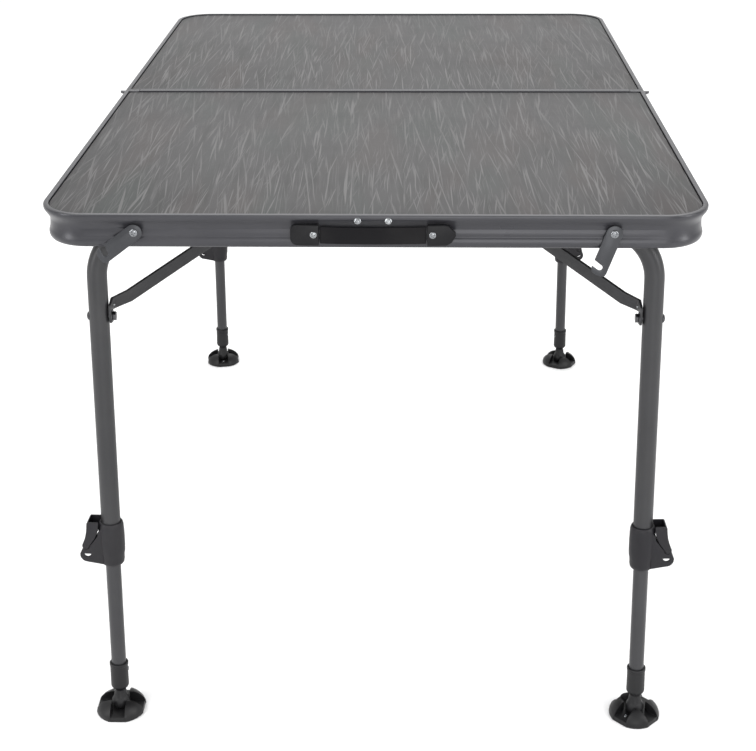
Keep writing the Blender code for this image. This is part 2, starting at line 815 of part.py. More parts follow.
def hook(label, side):
    """A flat steel latch that hangs on a screw, with a notch near its free end."""
    half = HOOK_WIDTH / 2
    notch_low = -HOOK_LENGTH + 0.0060
    notch_high = notch_low + 0.0070
    outline = arc((0, 0), half, 0, 180, 8)
    outline += [(-half, -HOOK_LENGTH + half)]
    outline += arc((0, -HOOK_LENGTH + 0.001), half, 180, 360, 8)
    outline += [(half, notch_low), (0.0010, notch_low), (0.0010, notch_high), (half, notch_high)]
    outline = [(-x, z) for x, z in outline]
    hole = [(-x, z) for x, z in arc((0, 0), 0.0032, 0, 330, 11)]
    turn = Matrix.Rotation(math.radians(-HOOK_TURNS[label]), 4, "Y")
    place = Matrix.Translation((side * HOOK_X, HOOK_Y, HEIGHT - HOOK_DROP))
    return plate(
        "hook_" + label, [outline, hole], HOOK_THICKNESS, "steel", place @ turn @ across_y()
    )


def rear_stud(label, side):
    """The headed stud on the rear rail that the hook's notch catches when closed."""
    profile = [
        (0, 0.0070),
        (0.0030, 0.0068),
        (0.0045, 0.0055),
        (0.0045, 0.0048),
        (0.0026, 0.0048),
        (0.0026, 0.0004),
        (0, 0.0004),
    ]
    place = rod_y(side * HOOK_X, LENGTH / 2 - 0.0068, HEIGHT - 0.0195)
    return turned("rear_stud_" + label, profile, "steel", sides=12, matrix=place)


# --- Assembly ----------------------------------------------------------------------------

ENDS = (("front", -1), ("rear", 1))
LEFT_RIGHT = (("left", -1), ("right", 1))
CAP_LENGTHS = {"front": 0.0120, "rear": 0.0300}
LUGS = {("front", "left"): (0.0080, 0.011), ("front", "right"): (0.0080, 0.011)}

for half_name, toward in ENDS:
    side_rail(half_name + "_rail", toward, CAP_LENGTHS[half_name] + 2 * GAP)
    mid_rail(half_name + "_mid_rail", toward)
    board(half_name + "_board", toward)
    guide(half_name + "_guide", toward)
    leg_frame(half_name + "_leg_frame", toward)
    slider(half_name + "_slider", toward)
    for side_name, hand in LEFT_RIGHT:
        corner_name = half_name + "_" + side_name
        seam_cap(
            corner_name + "_seam_cap",
            hand,
            toward,
            CAP_LENGTHS[half_name],
            LUGS.get((half_name, side_name)),
            "rail_grey" if half_name == "front" else "cap_grey",
        )
        bearing(corner_name + "_bearing", hand, toward)
        brace(corner_name + "_brace", hand, toward)
        brace_pin(corner_name + "_brace_pin", hand, toward)
        clamp_collar(corner_name + "_clamp", hand, toward)
        clamp_lever(corner_name + "_clamp_lever", hand, toward)
        lower_tube(corner_name + "_lower_tube", hand, toward)
        foot_sleeve(corner_name + "_foot_sleeve", hand, toward)
        foot_pad(corner_name + "_foot", hand, toward)

for side_name, hand in LEFT_RIGHT:
    seam_hinge(hand)
    hook(side_name, hand)
    rear_stud(side_name, hand)
handle()
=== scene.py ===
import json
import math

import bmesh
import bpy
from mathutils import Matrix, Vector


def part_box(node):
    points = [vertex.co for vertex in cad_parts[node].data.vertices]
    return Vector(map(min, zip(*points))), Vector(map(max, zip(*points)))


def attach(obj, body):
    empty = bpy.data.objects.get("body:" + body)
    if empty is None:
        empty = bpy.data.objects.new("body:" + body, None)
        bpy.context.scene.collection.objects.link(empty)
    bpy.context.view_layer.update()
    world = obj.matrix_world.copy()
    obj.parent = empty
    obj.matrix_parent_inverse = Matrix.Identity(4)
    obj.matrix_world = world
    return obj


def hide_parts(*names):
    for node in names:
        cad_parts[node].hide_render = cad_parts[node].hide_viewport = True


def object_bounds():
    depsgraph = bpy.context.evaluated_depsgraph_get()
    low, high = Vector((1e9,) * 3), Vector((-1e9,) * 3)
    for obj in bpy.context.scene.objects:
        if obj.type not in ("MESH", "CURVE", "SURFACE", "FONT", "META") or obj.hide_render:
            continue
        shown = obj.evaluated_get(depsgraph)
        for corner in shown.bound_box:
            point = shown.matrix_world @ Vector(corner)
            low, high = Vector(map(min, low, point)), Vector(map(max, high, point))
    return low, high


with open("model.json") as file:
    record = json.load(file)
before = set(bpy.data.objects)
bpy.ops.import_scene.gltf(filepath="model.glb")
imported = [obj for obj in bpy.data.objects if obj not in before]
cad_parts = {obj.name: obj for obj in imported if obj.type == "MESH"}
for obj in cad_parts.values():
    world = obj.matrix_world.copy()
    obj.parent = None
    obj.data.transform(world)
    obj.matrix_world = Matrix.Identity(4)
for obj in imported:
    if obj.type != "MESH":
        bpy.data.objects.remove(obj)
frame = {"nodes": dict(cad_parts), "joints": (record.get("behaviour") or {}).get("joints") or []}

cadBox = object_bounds()
joints = {joint["name"]: joint for joint in frame["joints"]}
tableTop = cadBox[1].z
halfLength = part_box("rear_rail")[1].y
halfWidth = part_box("rear_rail")[1].x
ends = (("front", -1), ("rear", 1))
hands = (("left", -1), ("right", 1))
corners = [(end, toward, side, hand) for end, toward in ends for side, hand in hands]
print("frame loaded,", len(frame["nodes"]), "nodes")


# ways of working in edit mode

def objectMode():
    if bpy.context.mode != "OBJECT":
        bpy.ops.object.mode_set(mode="OBJECT")


def hold(*pieces):
    # only these pieces are selected, and the first is the active one
    objectMode()
    bpy.ops.object.select_all(action="DESELECT")
    for piece in pieces:
        piece.select_set(True)
    bpy.context.view_layer.objects.active = pieces[0] if pieces else None


def begin(shape, **values):
    hold()
    getattr(bpy.ops.mesh, f"primitive_{shape}_add")(enter_editmode=True, **values)
    bpy.ops.mesh.select_mode(type="VERT")


def shift(x=0.0, y=0.0, z=0.0):
    bpy.ops.transform.translate(value=(x, y, z))


def extrude(x=0.0, y=0.0, z=0.0):
    bpy.ops.mesh.extrude_region_move(TRANSFORM_OT_translate={"value": (x, y, z)})


def pick(kind, test):
    # selects the vertices, edges or faces that pass the test
    bpy.ops.mesh.select_mode(type=kind)
    bpy.ops.mesh.select_all(action="DESELECT")
    work = bmesh.from_edit_mesh(bpy.context.object.data)
    for item in {"VERT": work.verts, "EDGE": work.edges, "FACE": work.faces}[kind]:
        if test(item):
            item.select_set(True)
    work.select_flush_mode()
    bmesh.update_edit_mesh(bpy.context.object.data)


def closeMesh(merge=0.00001):
    # merges doubles, turns the faces outwards and leaves edit mode
    bpy.ops.mesh.select_mode(type="VERT")
    bpy.ops.mesh.select_all(action="SELECT")
    bpy.ops.mesh.remove_doubles(threshold=merge)
    bpy.ops.mesh.normals_make_consistent(inside=False)
    objectMode()
    return bpy.context.object


def modify(piece, kind, **settings):
    hold(piece)
    step = piece.modifiers.new(kind.lower(), kind)
    for name, value in settings.items():
        setattr(step, name, value)
    bpy.ops.object.modifier_apply(modifier=step.name)
    return piece


def ease(piece, width, segments=2, angle=40):
    # rounds every edge that is sharper than the angle
    return modify(piece, "BEVEL", width=width, segments=segments, limit_method="ANGLE",
                  angle_limit=math.radians(angle), use_clamp_overlap=True)


def combine(operation, piece, others):
    for other in others:
        modify(piece, "BOOLEAN", operation=operation, object=other)
        bpy.data.objects.remove(other)
    return piece


def fuse(piece, *others):
    return combine("UNION", piece, others)


def cut(piece, *others):
    return combine("DIFFERENCE", piece, others)


def bundle(pieces):
    # loose fasteners of one kind as one piece
    hold(*pieces)
    bpy.ops.object.join()
    return bpy.context.object


def copyOf(piece):
    hold(piece)
    bpy.ops.object.duplicate(linked=False)
    return bpy.context.object


def settle(piece, matrix):
    # puts the place into the mesh, so that the object stays at the origin
    hold(piece)
    piece.matrix_world = matrix
    bpy.ops.object.transform_apply(location=True, rotation=True, scale=True)
    if matrix.determinant() < 0:
        bpy.ops.object.mode_set(mode="EDIT")
        closeMesh(merge=0.000001)
    return piece


def drawLine(points, closed=True):
    # a corner of a plane, extruded from point to point
    points = [Vector(point) for point in points]
    begin("plane", size=0.01)
    bpy.ops.mesh.merge(type="CENTER")
    shift(*points[0])
    for one, two in zip(points, points[1:]):
        extrude(*(two - one))
    if closed:
        pick("VERT", lambda v: min((v.co - points[0]).length, (v.co - points[-1]).length) < 0.000005)
        bpy.ops.mesh.edge_face_add()
    bpy.ops.mesh.select_all(action="SELECT")


def slab(outline, thickness, across="y", middle=0.0):
    # a flat piece: its outline in the two other axes, its thickness along this one
    axis = "xyz".index(across)

    def spot(pair):
        place = list(pair)
        place.insert(axis, middle - thickness / 2)
        return place

    drawLine([spot(pair) for pair in outline])
    bpy.ops.mesh.edge_face_add()
    step = [0.0, 0.0, 0.0]
    step[axis] = thickness
    extrude(*step)
    return closeMesh()


def block(low, high):
    begin("cube", size=1)
    bpy.ops.transform.resize(value=[b - a for a, b in zip(low, high)])
    shift(*[(a + b) / 2 for a, b in zip(low, high)])
    return closeMesh()


def rod(radius, low, high, sides=32):
    begin("cylinder", vertices=sides, radius=radius, depth=high - low)
    shift(z=(low + high) / 2)
    return closeMesh()


def turned(profile, steps=48, closed=False):
    # spins (radius, height) points round Z
    drawLine([(radius, 0.0, height) for radius, height in profile], closed)
    bpy.ops.mesh.spin(steps=steps, angle=math.tau, center=(0, 0, 0), axis=(0, 0, 1))
    return closeMesh()


def arc(centre, radius, start, end, steps):
    angles = [math.radians(start + (end - start) * n / steps) for n in range(steps + 1)]
    return [(centre[0] + radius * math.cos(a), centre[1] + radius * math.sin(a)) for a in angles]


def standing(place, direction):
    # a matrix whose Z axis points this way
    turn = Vector(direction).to_track_quat("Z", "Y").to_matrix().to_4x4()
    return Matrix.Translation(place) @ turn


def finish(piece, name, material, body, nodes=(), angle=35):
    hold(piece)
    bpy.ops.object.transform_apply(location=True, rotation=True, scale=True)
    bpy.ops.object.shade_smooth_by_angle(angle=math.radians(angle))
    piece.name = name
    piece.data.name = name
    piece.data.materials.clear()
    piece.data.materials.append(material)
    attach(piece, body)
    if nodes:
        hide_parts(*nodes)
    return piece


# colours and shared effects

def screenGrey(red, green, blue):
    # a colour given from 0 to 255 as the linear colour that a shader takes
    parts = [part / 255 for part in (red, green, blue)]
    return tuple(p / 12.92 if p < 0.04 else ((p + 0.055) / 1.055) ** 2.4 for p in parts) + (1.0,)


def addNode(tree, kind, **values):
    node = tree.nodes.new("ShaderNode" + kind)
    for name, value in values.items():
        if name in node.inputs:
            node.inputs[name].default_value = value
        else:
            setattr(node, name, value)
    return node


def mathNode(tree, operation, one, two=0.0):
    node = addNode(tree, "Math", operation=operation)
    for socket, value in zip(node.inputs, (one, two)):
        if isinstance(value, (int, float)):
            socket.default_value = value
        else:
            tree.links.new(value, socket)
    return node.outputs[0]


def newGroup(name, inputs, outputs):
    group = bpy.data.node_groups.new(name, "ShaderNodeTree")
    for socketName, kind, value in inputs:
        socket = group.interface.new_socket(socketName, in_out="INPUT", socket_type="NodeSocket" + kind)
        if value is not None:
            socket.default_value = value
    for socketName, kind in outputs:
        group.interface.new_socket(socketName, in_out="OUTPUT", socket_type="NodeSocket" + kind)
    return group, group.nodes.new("NodeGroupInput").outputs, group.nodes.new("NodeGroupOutput").inputs


def useGroup(tree, group, vector=None, **values):
    node = tree.nodes.new("ShaderNodeGroup")
    node.node_tree = group
    for name, value in values.items():
        node.inputs[name].default_value = value
    if vector:
        tree.links.new(vector, node.inputs["Vector"])
    return node


def stretch(tree, vector, scale):
    mapping = addNode(tree, "Mapping", Scale=scale)
    tree.links.new(vector, mapping.inputs["Vector"])
    return mapping.outputs["Vector"]


def noise(tree, vector, scale, detail=4.0, roughness=0.5, distortion=0.0):
    node = addNode(tree, "TexNoise", Scale=scale, Detail=detail, Roughness=roughness, Distortion=distortion)
    tree.links.new(vector, node.inputs["Vector"])
    return node.outputs["Fac"]


def remap(tree, value, low, high, to=(0.0, 1.0)):
    node = addNode(tree, "MapRange")
    tree.links.new(value, node.inputs["Value"])
    for name, number in zip(("From Min", "From Max", "To Min", "To Max"), (low, high, *to)):
        node.inputs[name].default_value = number
    return node.outputs["Result"]


def makeMouldedGrain():
    # the fine pitted skin of moulded plastic and powder coat
    group, taken, given = newGroup("mouldedGrain", [("Vector", "Vector", None), ("Scale", "Float", 1000.0)],
                                   [("Height", "Float"), ("Mottle", "Float")])
    cells = addNode(group, "TexVoronoi", feature="SMOOTH_F1")
    fine = addNode(group, "TexNoise", Detail=3.0, Roughness=0.6)
    wide = addNode(group, "TexNoise", Scale=14.0, Detail=4.0, Roughness=0.5)
    for node in (cells, fine, wide):
        group.links.new(taken["Vector"], node.inputs["Vector"])
    group.links.new(taken["Scale"], cells.inputs["Scale"])
    group.links.new(mathNode(group, "MULTIPLY", taken["Scale"], 0.7), fine.inputs["Scale"])
    height = mathNode(group, "ADD", mathNode(group, "MULTIPLY", cells.outputs["Distance"], 0.6),
                      mathNode(group, "MULTIPLY", fine.outputs["Fac"], 0.5))
    group.links.new(height, given["Height"])
    group.links.new(wide.outputs["Fac"], given["Mottle"])
    return group


def makeDrawnLines():
    # faint lines along a drawn or rolled metal; the vector comes squeezed along the piece
    group, taken, given = newGroup("drawnLines", [("Vector", "Vector", None), ("Scale", "Float", 700.0)],
                                   [("Height", "Float"), ("Streak", "Float")])
    fine = addNode(group, "TexNoise", Detail=5.0, Roughness=0.65)
    wide = addNode(group, "TexNoise", Detail=3.0, Roughness=0.5)
    for node, share in ((fine, 1.0), (wide, 0.12)):
        group.links.new(taken["Vector"], node.inputs["Vector"])
        group.links.new(mathNode(group, "MULTIPLY", taken["Scale"], share), node.inputs["Scale"])
    group.links.new(fine.outputs["Fac"], given["Height"])
    group.links.new(wide.outputs["Fac"], given["Streak"])
    return group


def makeEdgeWear():
    # a broken mask along the convex edges
    group, taken, given = newGroup("edgeWear", [("Vector", "Vector", None), ("Pointiness", "Float", 0.5),
                                                ("Start", "Float", 0.53), ("Patchiness", "Float", 160.0)],
                                   [("Mask", "Float")])
    edge = addNode(group, "MapRange")
    group.links.new(taken["Pointiness"], edge.inputs["Value"])
    group.links.new(taken["Start"], edge.inputs["From Min"])
    group.links.new(mathNode(group, "ADD", taken["Start"], 0.07), edge.inputs["From Max"])
    patches = addNode(group, "TexNoise", Detail=4.0, Roughness=0.6)
    group.links.new(taken["Vector"], patches.inputs["Vector"])
    group.links.new(taken["Patchiness"], patches.inputs["Scale"])
    broken = remap(group, patches.outputs["Fac"], 0.40, 0.62)
    group.links.new(mathNode(group, "MULTIPLY", edge.outputs["Result"], broken), given["Mask"])
    return group


def makeDust():
    # a thin film that gathers in wide soft patches
    group, taken, given = newGroup("dustFilm", [("Vector", "Vector", None), ("Amount", "Float", 0.2)],
                                   [("Mask", "Float")])
    cloud = addNode(group, "TexNoise", Scale=9.0, Detail=7.0, Roughness=0.65)
    group.links.new(taken["Vector"], cloud.inputs["Vector"])
    patches = remap(group, cloud.outputs["Fac"], 0.45, 0.85)
    group.links.new(mathNode(group, "MULTIPLY", patches, taken["Amount"]), given["Mask"])
    return group


mouldedGrain = makeMouldedGrain()
drawnLines = makeDrawnLines()
edgeWear = makeEdgeWear()
dustFilm = makeDust()


def startMaterial(name):
    material = bpy.data.materials.new(name)
    material.use_nodes = True
    tree = material.node_tree
    place = tree.nodes.new("ShaderNodeTexCoord").outputs["Object"]
    return material, tree, tree.nodes["Principled BSDF"], place


def blendColour(tree, mask, one, two):
    node = addNode(tree, "Mix", data_type="RGBA")
    tree.links.new(mask, node.inputs[0])
    for socket, value in ((node.inputs[6], one), (node.inputs[7], two)):
        if isinstance(value, tuple):
            socket.default_value = value
        else:
            tree.links.new(value, socket)
    return node.outputs[2]


def bumpFrom(tree, shader, height, distance):
    bump = addNode(tree, "Bump", Distance=distance)
    tree.links.new(height, bump.inputs["Height"])
    tree.links.new(bump.outputs["Normal"], shader.inputs["Normal"])


def wornFinish(name, dark, light, bright, roughness, metallic=0.0, grain=1000.0, depth=0.00004,
               wear=0.2, dust=0.03, along=None, specular=0.5):
    # paint, coat or moulded plastic: mottled colour, worn edges, a dust film and a fine surface
    material, tree, shader, place = startMaterial(name)
    skin = useGroup(tree, mouldedGrain, place, Scale=grain)
    height = skin.outputs["Height"]
    mottle = remap(tree, skin.outputs["Mottle"], 0.34, 0.68)
    if along:
        drawn = useGroup(tree, drawnLines, stretch(tree, place, along))
        height = mathNode(tree, "ADD", drawn.outputs["Height"], mathNode(tree, "MULTIPLY", height, 0.35))
        mottle = mathNode(tree, "ADD", mathNode(tree, "MULTIPLY", mottle, 0.5),
                          mathNode(tree, "MULTIPLY", remap(tree, drawn.outputs["Streak"], 0.35, 0.65), 0.5))
    colour = blendColour(tree, mottle, screenGrey(*dark), screenGrey(*light))
    geometry = tree.nodes.new("ShaderNodeNewGeometry")
    worn = useGroup(tree, edgeWear, place)
    tree.links.new(geometry.outputs["Pointiness"], worn.inputs["Pointiness"])
    wornMask = mathNode(tree, "MULTIPLY", worn.outputs["Mask"], wear)
    colour = blendColour(tree, wornMask, colour, screenGrey(*bright))
    film = useGroup(tree, dustFilm, place, Amount=dust)
    colour = blendColour(tree, film.outputs["Mask"], colour, screenGrey(150, 147, 142))
    tree.links.new(colour, shader.inputs["Base Color"])
    rough = mathNode(tree, "ADD", remap(tree, mottle, 0.0, 1.0, (roughness - 0.05, roughness + 0.05)),
                     mathNode(tree, "MULTIPLY", film.outputs["Mask"], 0.4))
    tree.links.new(mathNode(tree, "SUBTRACT", rough, mathNode(tree, "MULTIPLY", wornMask, 0.1)),
                   shader.inputs["Roughness"])
    shader.inputs["Metallic"].default_value = metallic
    shader.inputs["Specular IOR Level"].default_value = specular
    bumpFrom(tree, shader, height, depth)
    return material


def brightSteel(name, dark, light, roughness, grain=1500.0):
    # plated steel with fine scratches and a slight cloud
    material, tree, shader, place = startMaterial(name)
    drawn = useGroup(tree, drawnLines, stretch(tree, place, (1.0, 0.25, 0.6)), Scale=grain)
    cloud = useGroup(tree, mouldedGrain, place, Scale=grain)
    mottle = remap(tree, cloud.outputs["Mottle"], 0.35, 0.65)
    colour = blendColour(tree, mottle, screenGrey(*dark), screenGrey(*light))
    tree.links.new(colour, shader.inputs["Base Color"])
    tree.links.new(remap(tree, drawn.outputs["Streak"], 0.3, 0.7, (roughness - 0.06, roughness + 0.08)),
                   shader.inputs["Roughness"])
    shader.inputs["Metallic"].default_value = 1.0
    bumpFrom(tree, shader, drawn.outputs["Height"], 0.00001)
    return material


laminate = {
    "base": (48, 47, 48),
    "deep": (39, 39, 39),
    "blade": (102, 101, 101),
    "underside": (58, 57, 58),
    "roughness": 0.50,
    "specular": 0.30,
    "strands": [(0.02, 260.0, 5.5, 0.61, 0.69, 0.0), (-0.08, 320.0, 6.5, 0.62, 0.70, 2.2),
                (0.11, 300.0, 6.0, 0.62, 0.70, 4.7), (0.04, 520.0, 10.0, 0.58, 0.72, 6.4),
                (-0.18, 360.0, 10.0, 0.65, 0.73, 7.7)],
    "shares": (0.85, 0.8, 0.5, 0.6),
    "darkBands": (0.03, 95.0, 5.0, 0.50, 0.68, 8.1),
    "tints": [((52, 46, 45), 0.65, (-0.05, 16.0, 3.4, 0.50, 0.68, 3.3, 0.05)),
              ((43, 49, 47), 0.6, (0.06, 13.0, 3.0, 0.52, 0.70, 5.9, 0.05))],
    "bladeShare": 0.8,
}


def makeLaminate():
    # a printed sheet of long leaning blades over darker bands, with brown and green tints
    material, tree, shader, place = startMaterial("inlaySheet")

    def strands(lean, across, along, low, high, seed, wander=0.005):
        # long blades along Y that lean to one side and wander a little
        bend = noise(tree, stretch(tree, place, (7.0, 5.0, 1.0)), 1.0, 2.0, 0.5)
        axes = addNode(tree, "SeparateXYZ")
        tree.links.new(place, axes.inputs[0])
        drift = mathNode(tree, "ADD", mathNode(tree, "MULTIPLY", axes.outputs["Y"], lean),
                         mathNode(tree, "MULTIPLY", bend, wander))
        joined = addNode(tree, "CombineXYZ")
        tree.links.new(mathNode(tree, "ADD", axes.outputs["X"], drift), joined.inputs["X"])
        tree.links.new(axes.outputs["Y"], joined.inputs["Y"])
        joined.inputs["Z"].default_value = seed
        squeezed = stretch(tree, joined.outputs[0], (across, along, 1.0))
        return remap(tree, noise(tree, squeezed, 1.0, 1.5, 0.5, 0.15), low, high)

    mask = strands(*laminate["strands"][0])
    for values, share in zip(laminate["strands"][1:], laminate["shares"]):
        mask = mathNode(tree, "MAXIMUM", mask, mathNode(tree, "MULTIPLY", strands(*values), share))
    colour = blendColour(tree, strands(*laminate["darkBands"]), screenGrey(*laminate["base"]),
                         screenGrey(*laminate["deep"]))
    for tint, share, values in laminate["tints"]:
        band = mathNode(tree, "MULTIPLY", strands(*values), share)
        colour = blendColour(tree, band, colour, screenGrey(*tint))
    colour = blendColour(tree, mathNode(tree, "MULTIPLY", mask, laminate["bladeShare"]), colour,
                         screenGrey(*laminate["blade"]))
    normal = addNode(tree, "SeparateXYZ")
    tree.links.new(tree.nodes["Texture Coordinate"].outputs["Normal"], normal.inputs[0])
    upward = remap(tree, normal.outputs["Z"], -0.2, 0.2)
    colour = blendColour(tree, upward, screenGrey(*laminate["underside"]), colour)
    tree.links.new(colour, shader.inputs["Base Color"])
    film = useGroup(tree, dustFilm, place, Amount=0.06)
    sheen = remap(tree, mask, 0.0, 1.0, (laminate["roughness"], laminate["roughness"] + 0.08))
    tree.links.new(mathNode(tree, "ADD", sheen, film.outputs["Mask"]), shader.inputs["Roughness"])
    shader.inputs["Specular IOR Level"].default_value = laminate["specular"]
    skin = useGroup(tree, mouldedGrain, place, Scale=1400.0)
    height = mathNode(tree, "ADD", mathNode(tree, "MULTIPLY", mask, 0.8),
                      mathNode(tree, "MULTIPLY", skin.outputs["Height"], 0.3))
    bumpFrom(tree, shader, height, 0.00005)
    return material


boardLaminate = makeLaminate()
railMetal = wornFinish("railCoat", (46, 46, 50), (52, 52, 56), (120, 120, 124), roughness=0.32,
                       metallic=0.35, grain=1300.0, depth=0.00002, wear=0.0, dust=0.02,
                       along=(0.06, 0.06, 1.0))
upperTubeMetal = wornFinish("upperTubeCoat", (38, 38, 40), (43, 43, 45), (110, 110, 113),
                            roughness=0.42, metallic=0.25, grain=1100.0, depth=0.00003, wear=0.0)
lowerTubeMetal = wornFinish("lowerTubeCoat", (50, 50, 52), (56, 56, 58), (120, 120, 122),
                            roughness=0.34, metallic=0.45, grain=1400.0, depth=0.00002, wear=0.0,
                            along=(1.0, 1.0, 0.05))
braceMetal = wornFinish("braceCoat", (30, 30, 32), (36, 36, 38), (96, 96, 98), roughness=0.42,
                        metallic=0.35, grain=1100.0, depth=0.00003, wear=0.25)
sliderMetal = wornFinish("sliderCoat", (46, 46, 48), (52, 52, 54), (110, 110, 112), roughness=0.45,
                         metallic=0.4, grain=1100.0, depth=0.00003)
clampPlastic = wornFinish("clampMoulding", (21, 20, 24), (25, 24, 28), (60, 59, 62), roughness=0.50,
                          depth=0.00006, specular=0.26)
sleevePlastic = wornFinish("sleeveMoulding", (17, 17, 19), (21, 21, 23), (56, 56, 58), roughness=0.46,
                           depth=0.00005, specular=0.28)
footRubber = wornFinish("footMoulding", (9, 9, 11), (12, 12, 14), (40, 40, 42), roughness=0.42,
                        grain=800.0, depth=0.00007, wear=0.3, specular=0.30)
rearCapPlastic = wornFinish("cornerMoulding", (58, 58, 60), (64, 64, 66), (90, 90, 92),
                            roughness=0.55, depth=0.00006)
bearingPlastic = wornFinish("bearingMoulding", (22, 22, 24), (27, 27, 29), (48, 48, 50),
                            roughness=0.55, depth=0.00007)
strapRubber = wornFinish("strapMoulding", (7, 6, 9), (9, 8, 11), (30, 30, 34), roughness=0.50,
                         grain=1200.0, depth=0.00006, wear=0.1, specular=0.12)
handleCapPlastic = wornFinish("handleMoulding", (8, 8, 11), (12, 12, 15), (40, 40, 43),
                              roughness=0.42, depth=0.00005, specular=0.18)
hookSteel = wornFinish("hookCoat", (50, 51, 54), (57, 58, 61), (150, 150, 152), roughness=0.34,
                       metallic=0.5, grain=1200.0, depth=0.00002, wear=0.0, dust=0.02)
hingeSteel = brightSteel("hingePlate", (110, 110, 111), (135, 135, 135), roughness=0.40)
boltSteel = brightSteel("darkBolt", (60, 60, 62), (80, 80, 82), roughness=0.34)
screwSteel = brightSteel("platedScrew", (112, 114, 117), (140, 142, 144), roughness=0.13)
print("finishes mixed")


# rails round the two halves of the top

railShape = {
    "corner": 0.058,
    "cornerSteps": 16,
    "fade": 0.026,
    "ribPush": 0.0005,
    "ribs": (-0.0187, -0.0197, -0.0279, -0.0289),
    "seamGap": {"front": 0.0126, "rear": 0.0306},
    "lip": [(-0.0065, -0.0004), (-0.0061, 0), (-0.0014, 0), (-0.0005, -0.0004), (0, -0.0014)],
    "face": [(0, -0.0040), (-0.0004, -0.0054), (-0.0015, -0.0074), (-0.0030, -0.0096),
             (-0.0046, -0.0120), (-0.0059, -0.0146), (-0.0066, -0.0170), (-0.0067, -0.0181),
             (-0.0072, -0.0187), (-0.0072, -0.0197), (-0.0067, -0.0203), (-0.0065, -0.0240),
             (-0.0061, -0.0273), (-0.0065, -0.0279), (-0.0063, -0.0289), (-0.0057, -0.0296),
             (-0.0048, -0.0318),
             (-0.0043, -0.0345), (-0.0044, -0.0370), (-0.0052, -0.0395), (-0.0066, -0.0414),
             (-0.0075, -0.0420), (-0.0086, -0.0413)],
    "seat": [(-0.0086, -0.0095), (-0.0220, -0.0095), (-0.0220, -0.0068), (-0.0065, -0.0068)],
}


def railSection(ribbed=True):
    face = [point for point in railShape["face"] if ribbed or point[1] not in railShape["ribs"]]
    return railShape["lip"] + face + railShape["seat"]


def sweepRail(end, toward):
    bend = railShape["corner"]
    fade = railShape["fade"]
    seamY = toward * railShape["seamGap"][end]
    fadeY = toward * (halfLength - bend - fade)
    bendY = toward * (halfLength - bend)
    bendX = halfWidth - bend
    ribHeights = [tableTop + rib for rib in railShape["ribs"]]

    def ring(axis, value, hand=0):
        pick("VERT", lambda v: abs(v.co[axis] - value) < 0.00001 and v.co.x * hand >= 0)

    def moveRibs(axis, value, hand, x=0.0, y=0.0):
        # the ribs run out before each corner
        pick("VERT", lambda v: abs(v.co[axis] - value) < 0.00001 and v.co.x * hand >= 0
             and min(abs(v.co.z - height) for height in ribHeights) < 0.00002)
        shift(x, y)
        ring(axis, value, hand)

    def corner(hand):
        bpy.ops.mesh.spin(steps=railShape["cornerSteps"], angle=-toward * math.radians(90),
                          center=(hand * bendX, bendY, 0), axis=(0, 0, 1))

    push = railShape["ribPush"]
    drawLine([(halfWidth + out, seamY, tableTop + up) for out, up in railSection()])
    extrude(y=fadeY - seamY)
    extrude(y=toward * fade)
    moveRibs(1, bendY, 1, x=push)
    corner(1)
    extrude(x=-fade)
    moveRibs(0, bendX - fade, 0, y=-toward * push)
    extrude(x=-2 * (bendX - fade))
    extrude(x=-fade)
    moveRibs(0, -bendX, 0, y=toward * push)
    corner(-1)
    extrude(y=-toward * fade)
    moveRibs(1, fadeY, -1, x=push)
    extrude(y=seamY - fadeY)
    for hand in (1, -1):
        ring(1, seamY, hand)
        bpy.ops.mesh.edge_face_add()
    return closeMesh()


for end, toward in ends:
    finish(sweepRail(end, toward), end + "RailSkin", railMetal, end + "_top",
           [end + "_rail"], angle=28)
print("rails made")


# inlaid boards

boardShape = {"grow": 0.0010, "corner": 0.050, "seamCorner": 0.006, "edgeEase": 0.0005}


def layBoard(end, toward):
    low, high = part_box(end + "_board")
    begin("plane", size=1)
    grow = boardShape["grow"]
    bpy.ops.transform.resize(value=(high.x - low.x + grow, high.y - low.y + grow, 1))
    shift(0, (low.y + high.y) / 2, low.z)
    for outer, radius, steps in ((True, boardShape["corner"], 14), (False, boardShape["seamCorner"], 5)):
        pick("VERT", lambda v: (abs(v.co.y) > 0.3) == outer)
        bpy.ops.mesh.bevel(offset=radius, segments=steps, affect="VERTICES")
    bpy.ops.mesh.select_all(action="SELECT")
    extrude(z=high.z - low.z)
    return ease(closeMesh(), boardShape["edgeEase"], 2)


for end, toward in ends:
    finish(layBoard(end, toward), end + "Inlay", boardLaminate, end + "_top",
           [end + "_board"])
print("boards laid")


# straight rails and moulded corners along the seam

seamShape = {
    "section": [(0.0003, -0.0004), (0.0007, 0), (0.0061, 0), (0.0065, -0.0004), (0.0065, -0.0068),
                (0.0220, -0.0068), (0.0220, -0.0095), (0.0026, -0.0095), (0.0026, -0.0402),
                (0.0080, -0.0402), (0.0080, -0.0420), (0.0003, -0.0420)],
    "seatIn": 0.0220,
    "seatDown": 0.0068,
    "lipWidth": 0.0065,
    "plugEnd": (0.0075, 0.0100, 0.0412),
    "stripIn": 0.0030,
    "lugThickness": 0.0036,
    "lugDown": 0.0026,
    "lugReach": {"left": 0.0078, "right": 0.0079},
    "lugRun": {"left": 0.0110, "right": 0.0119},
}


def seamRail(end, toward):
    low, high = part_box(end + "_mid_rail")
    section = [(toward * out, tableTop + up) for out, up in seamShape["section"]]
    return slab(section, high.x - low.x, across="x")


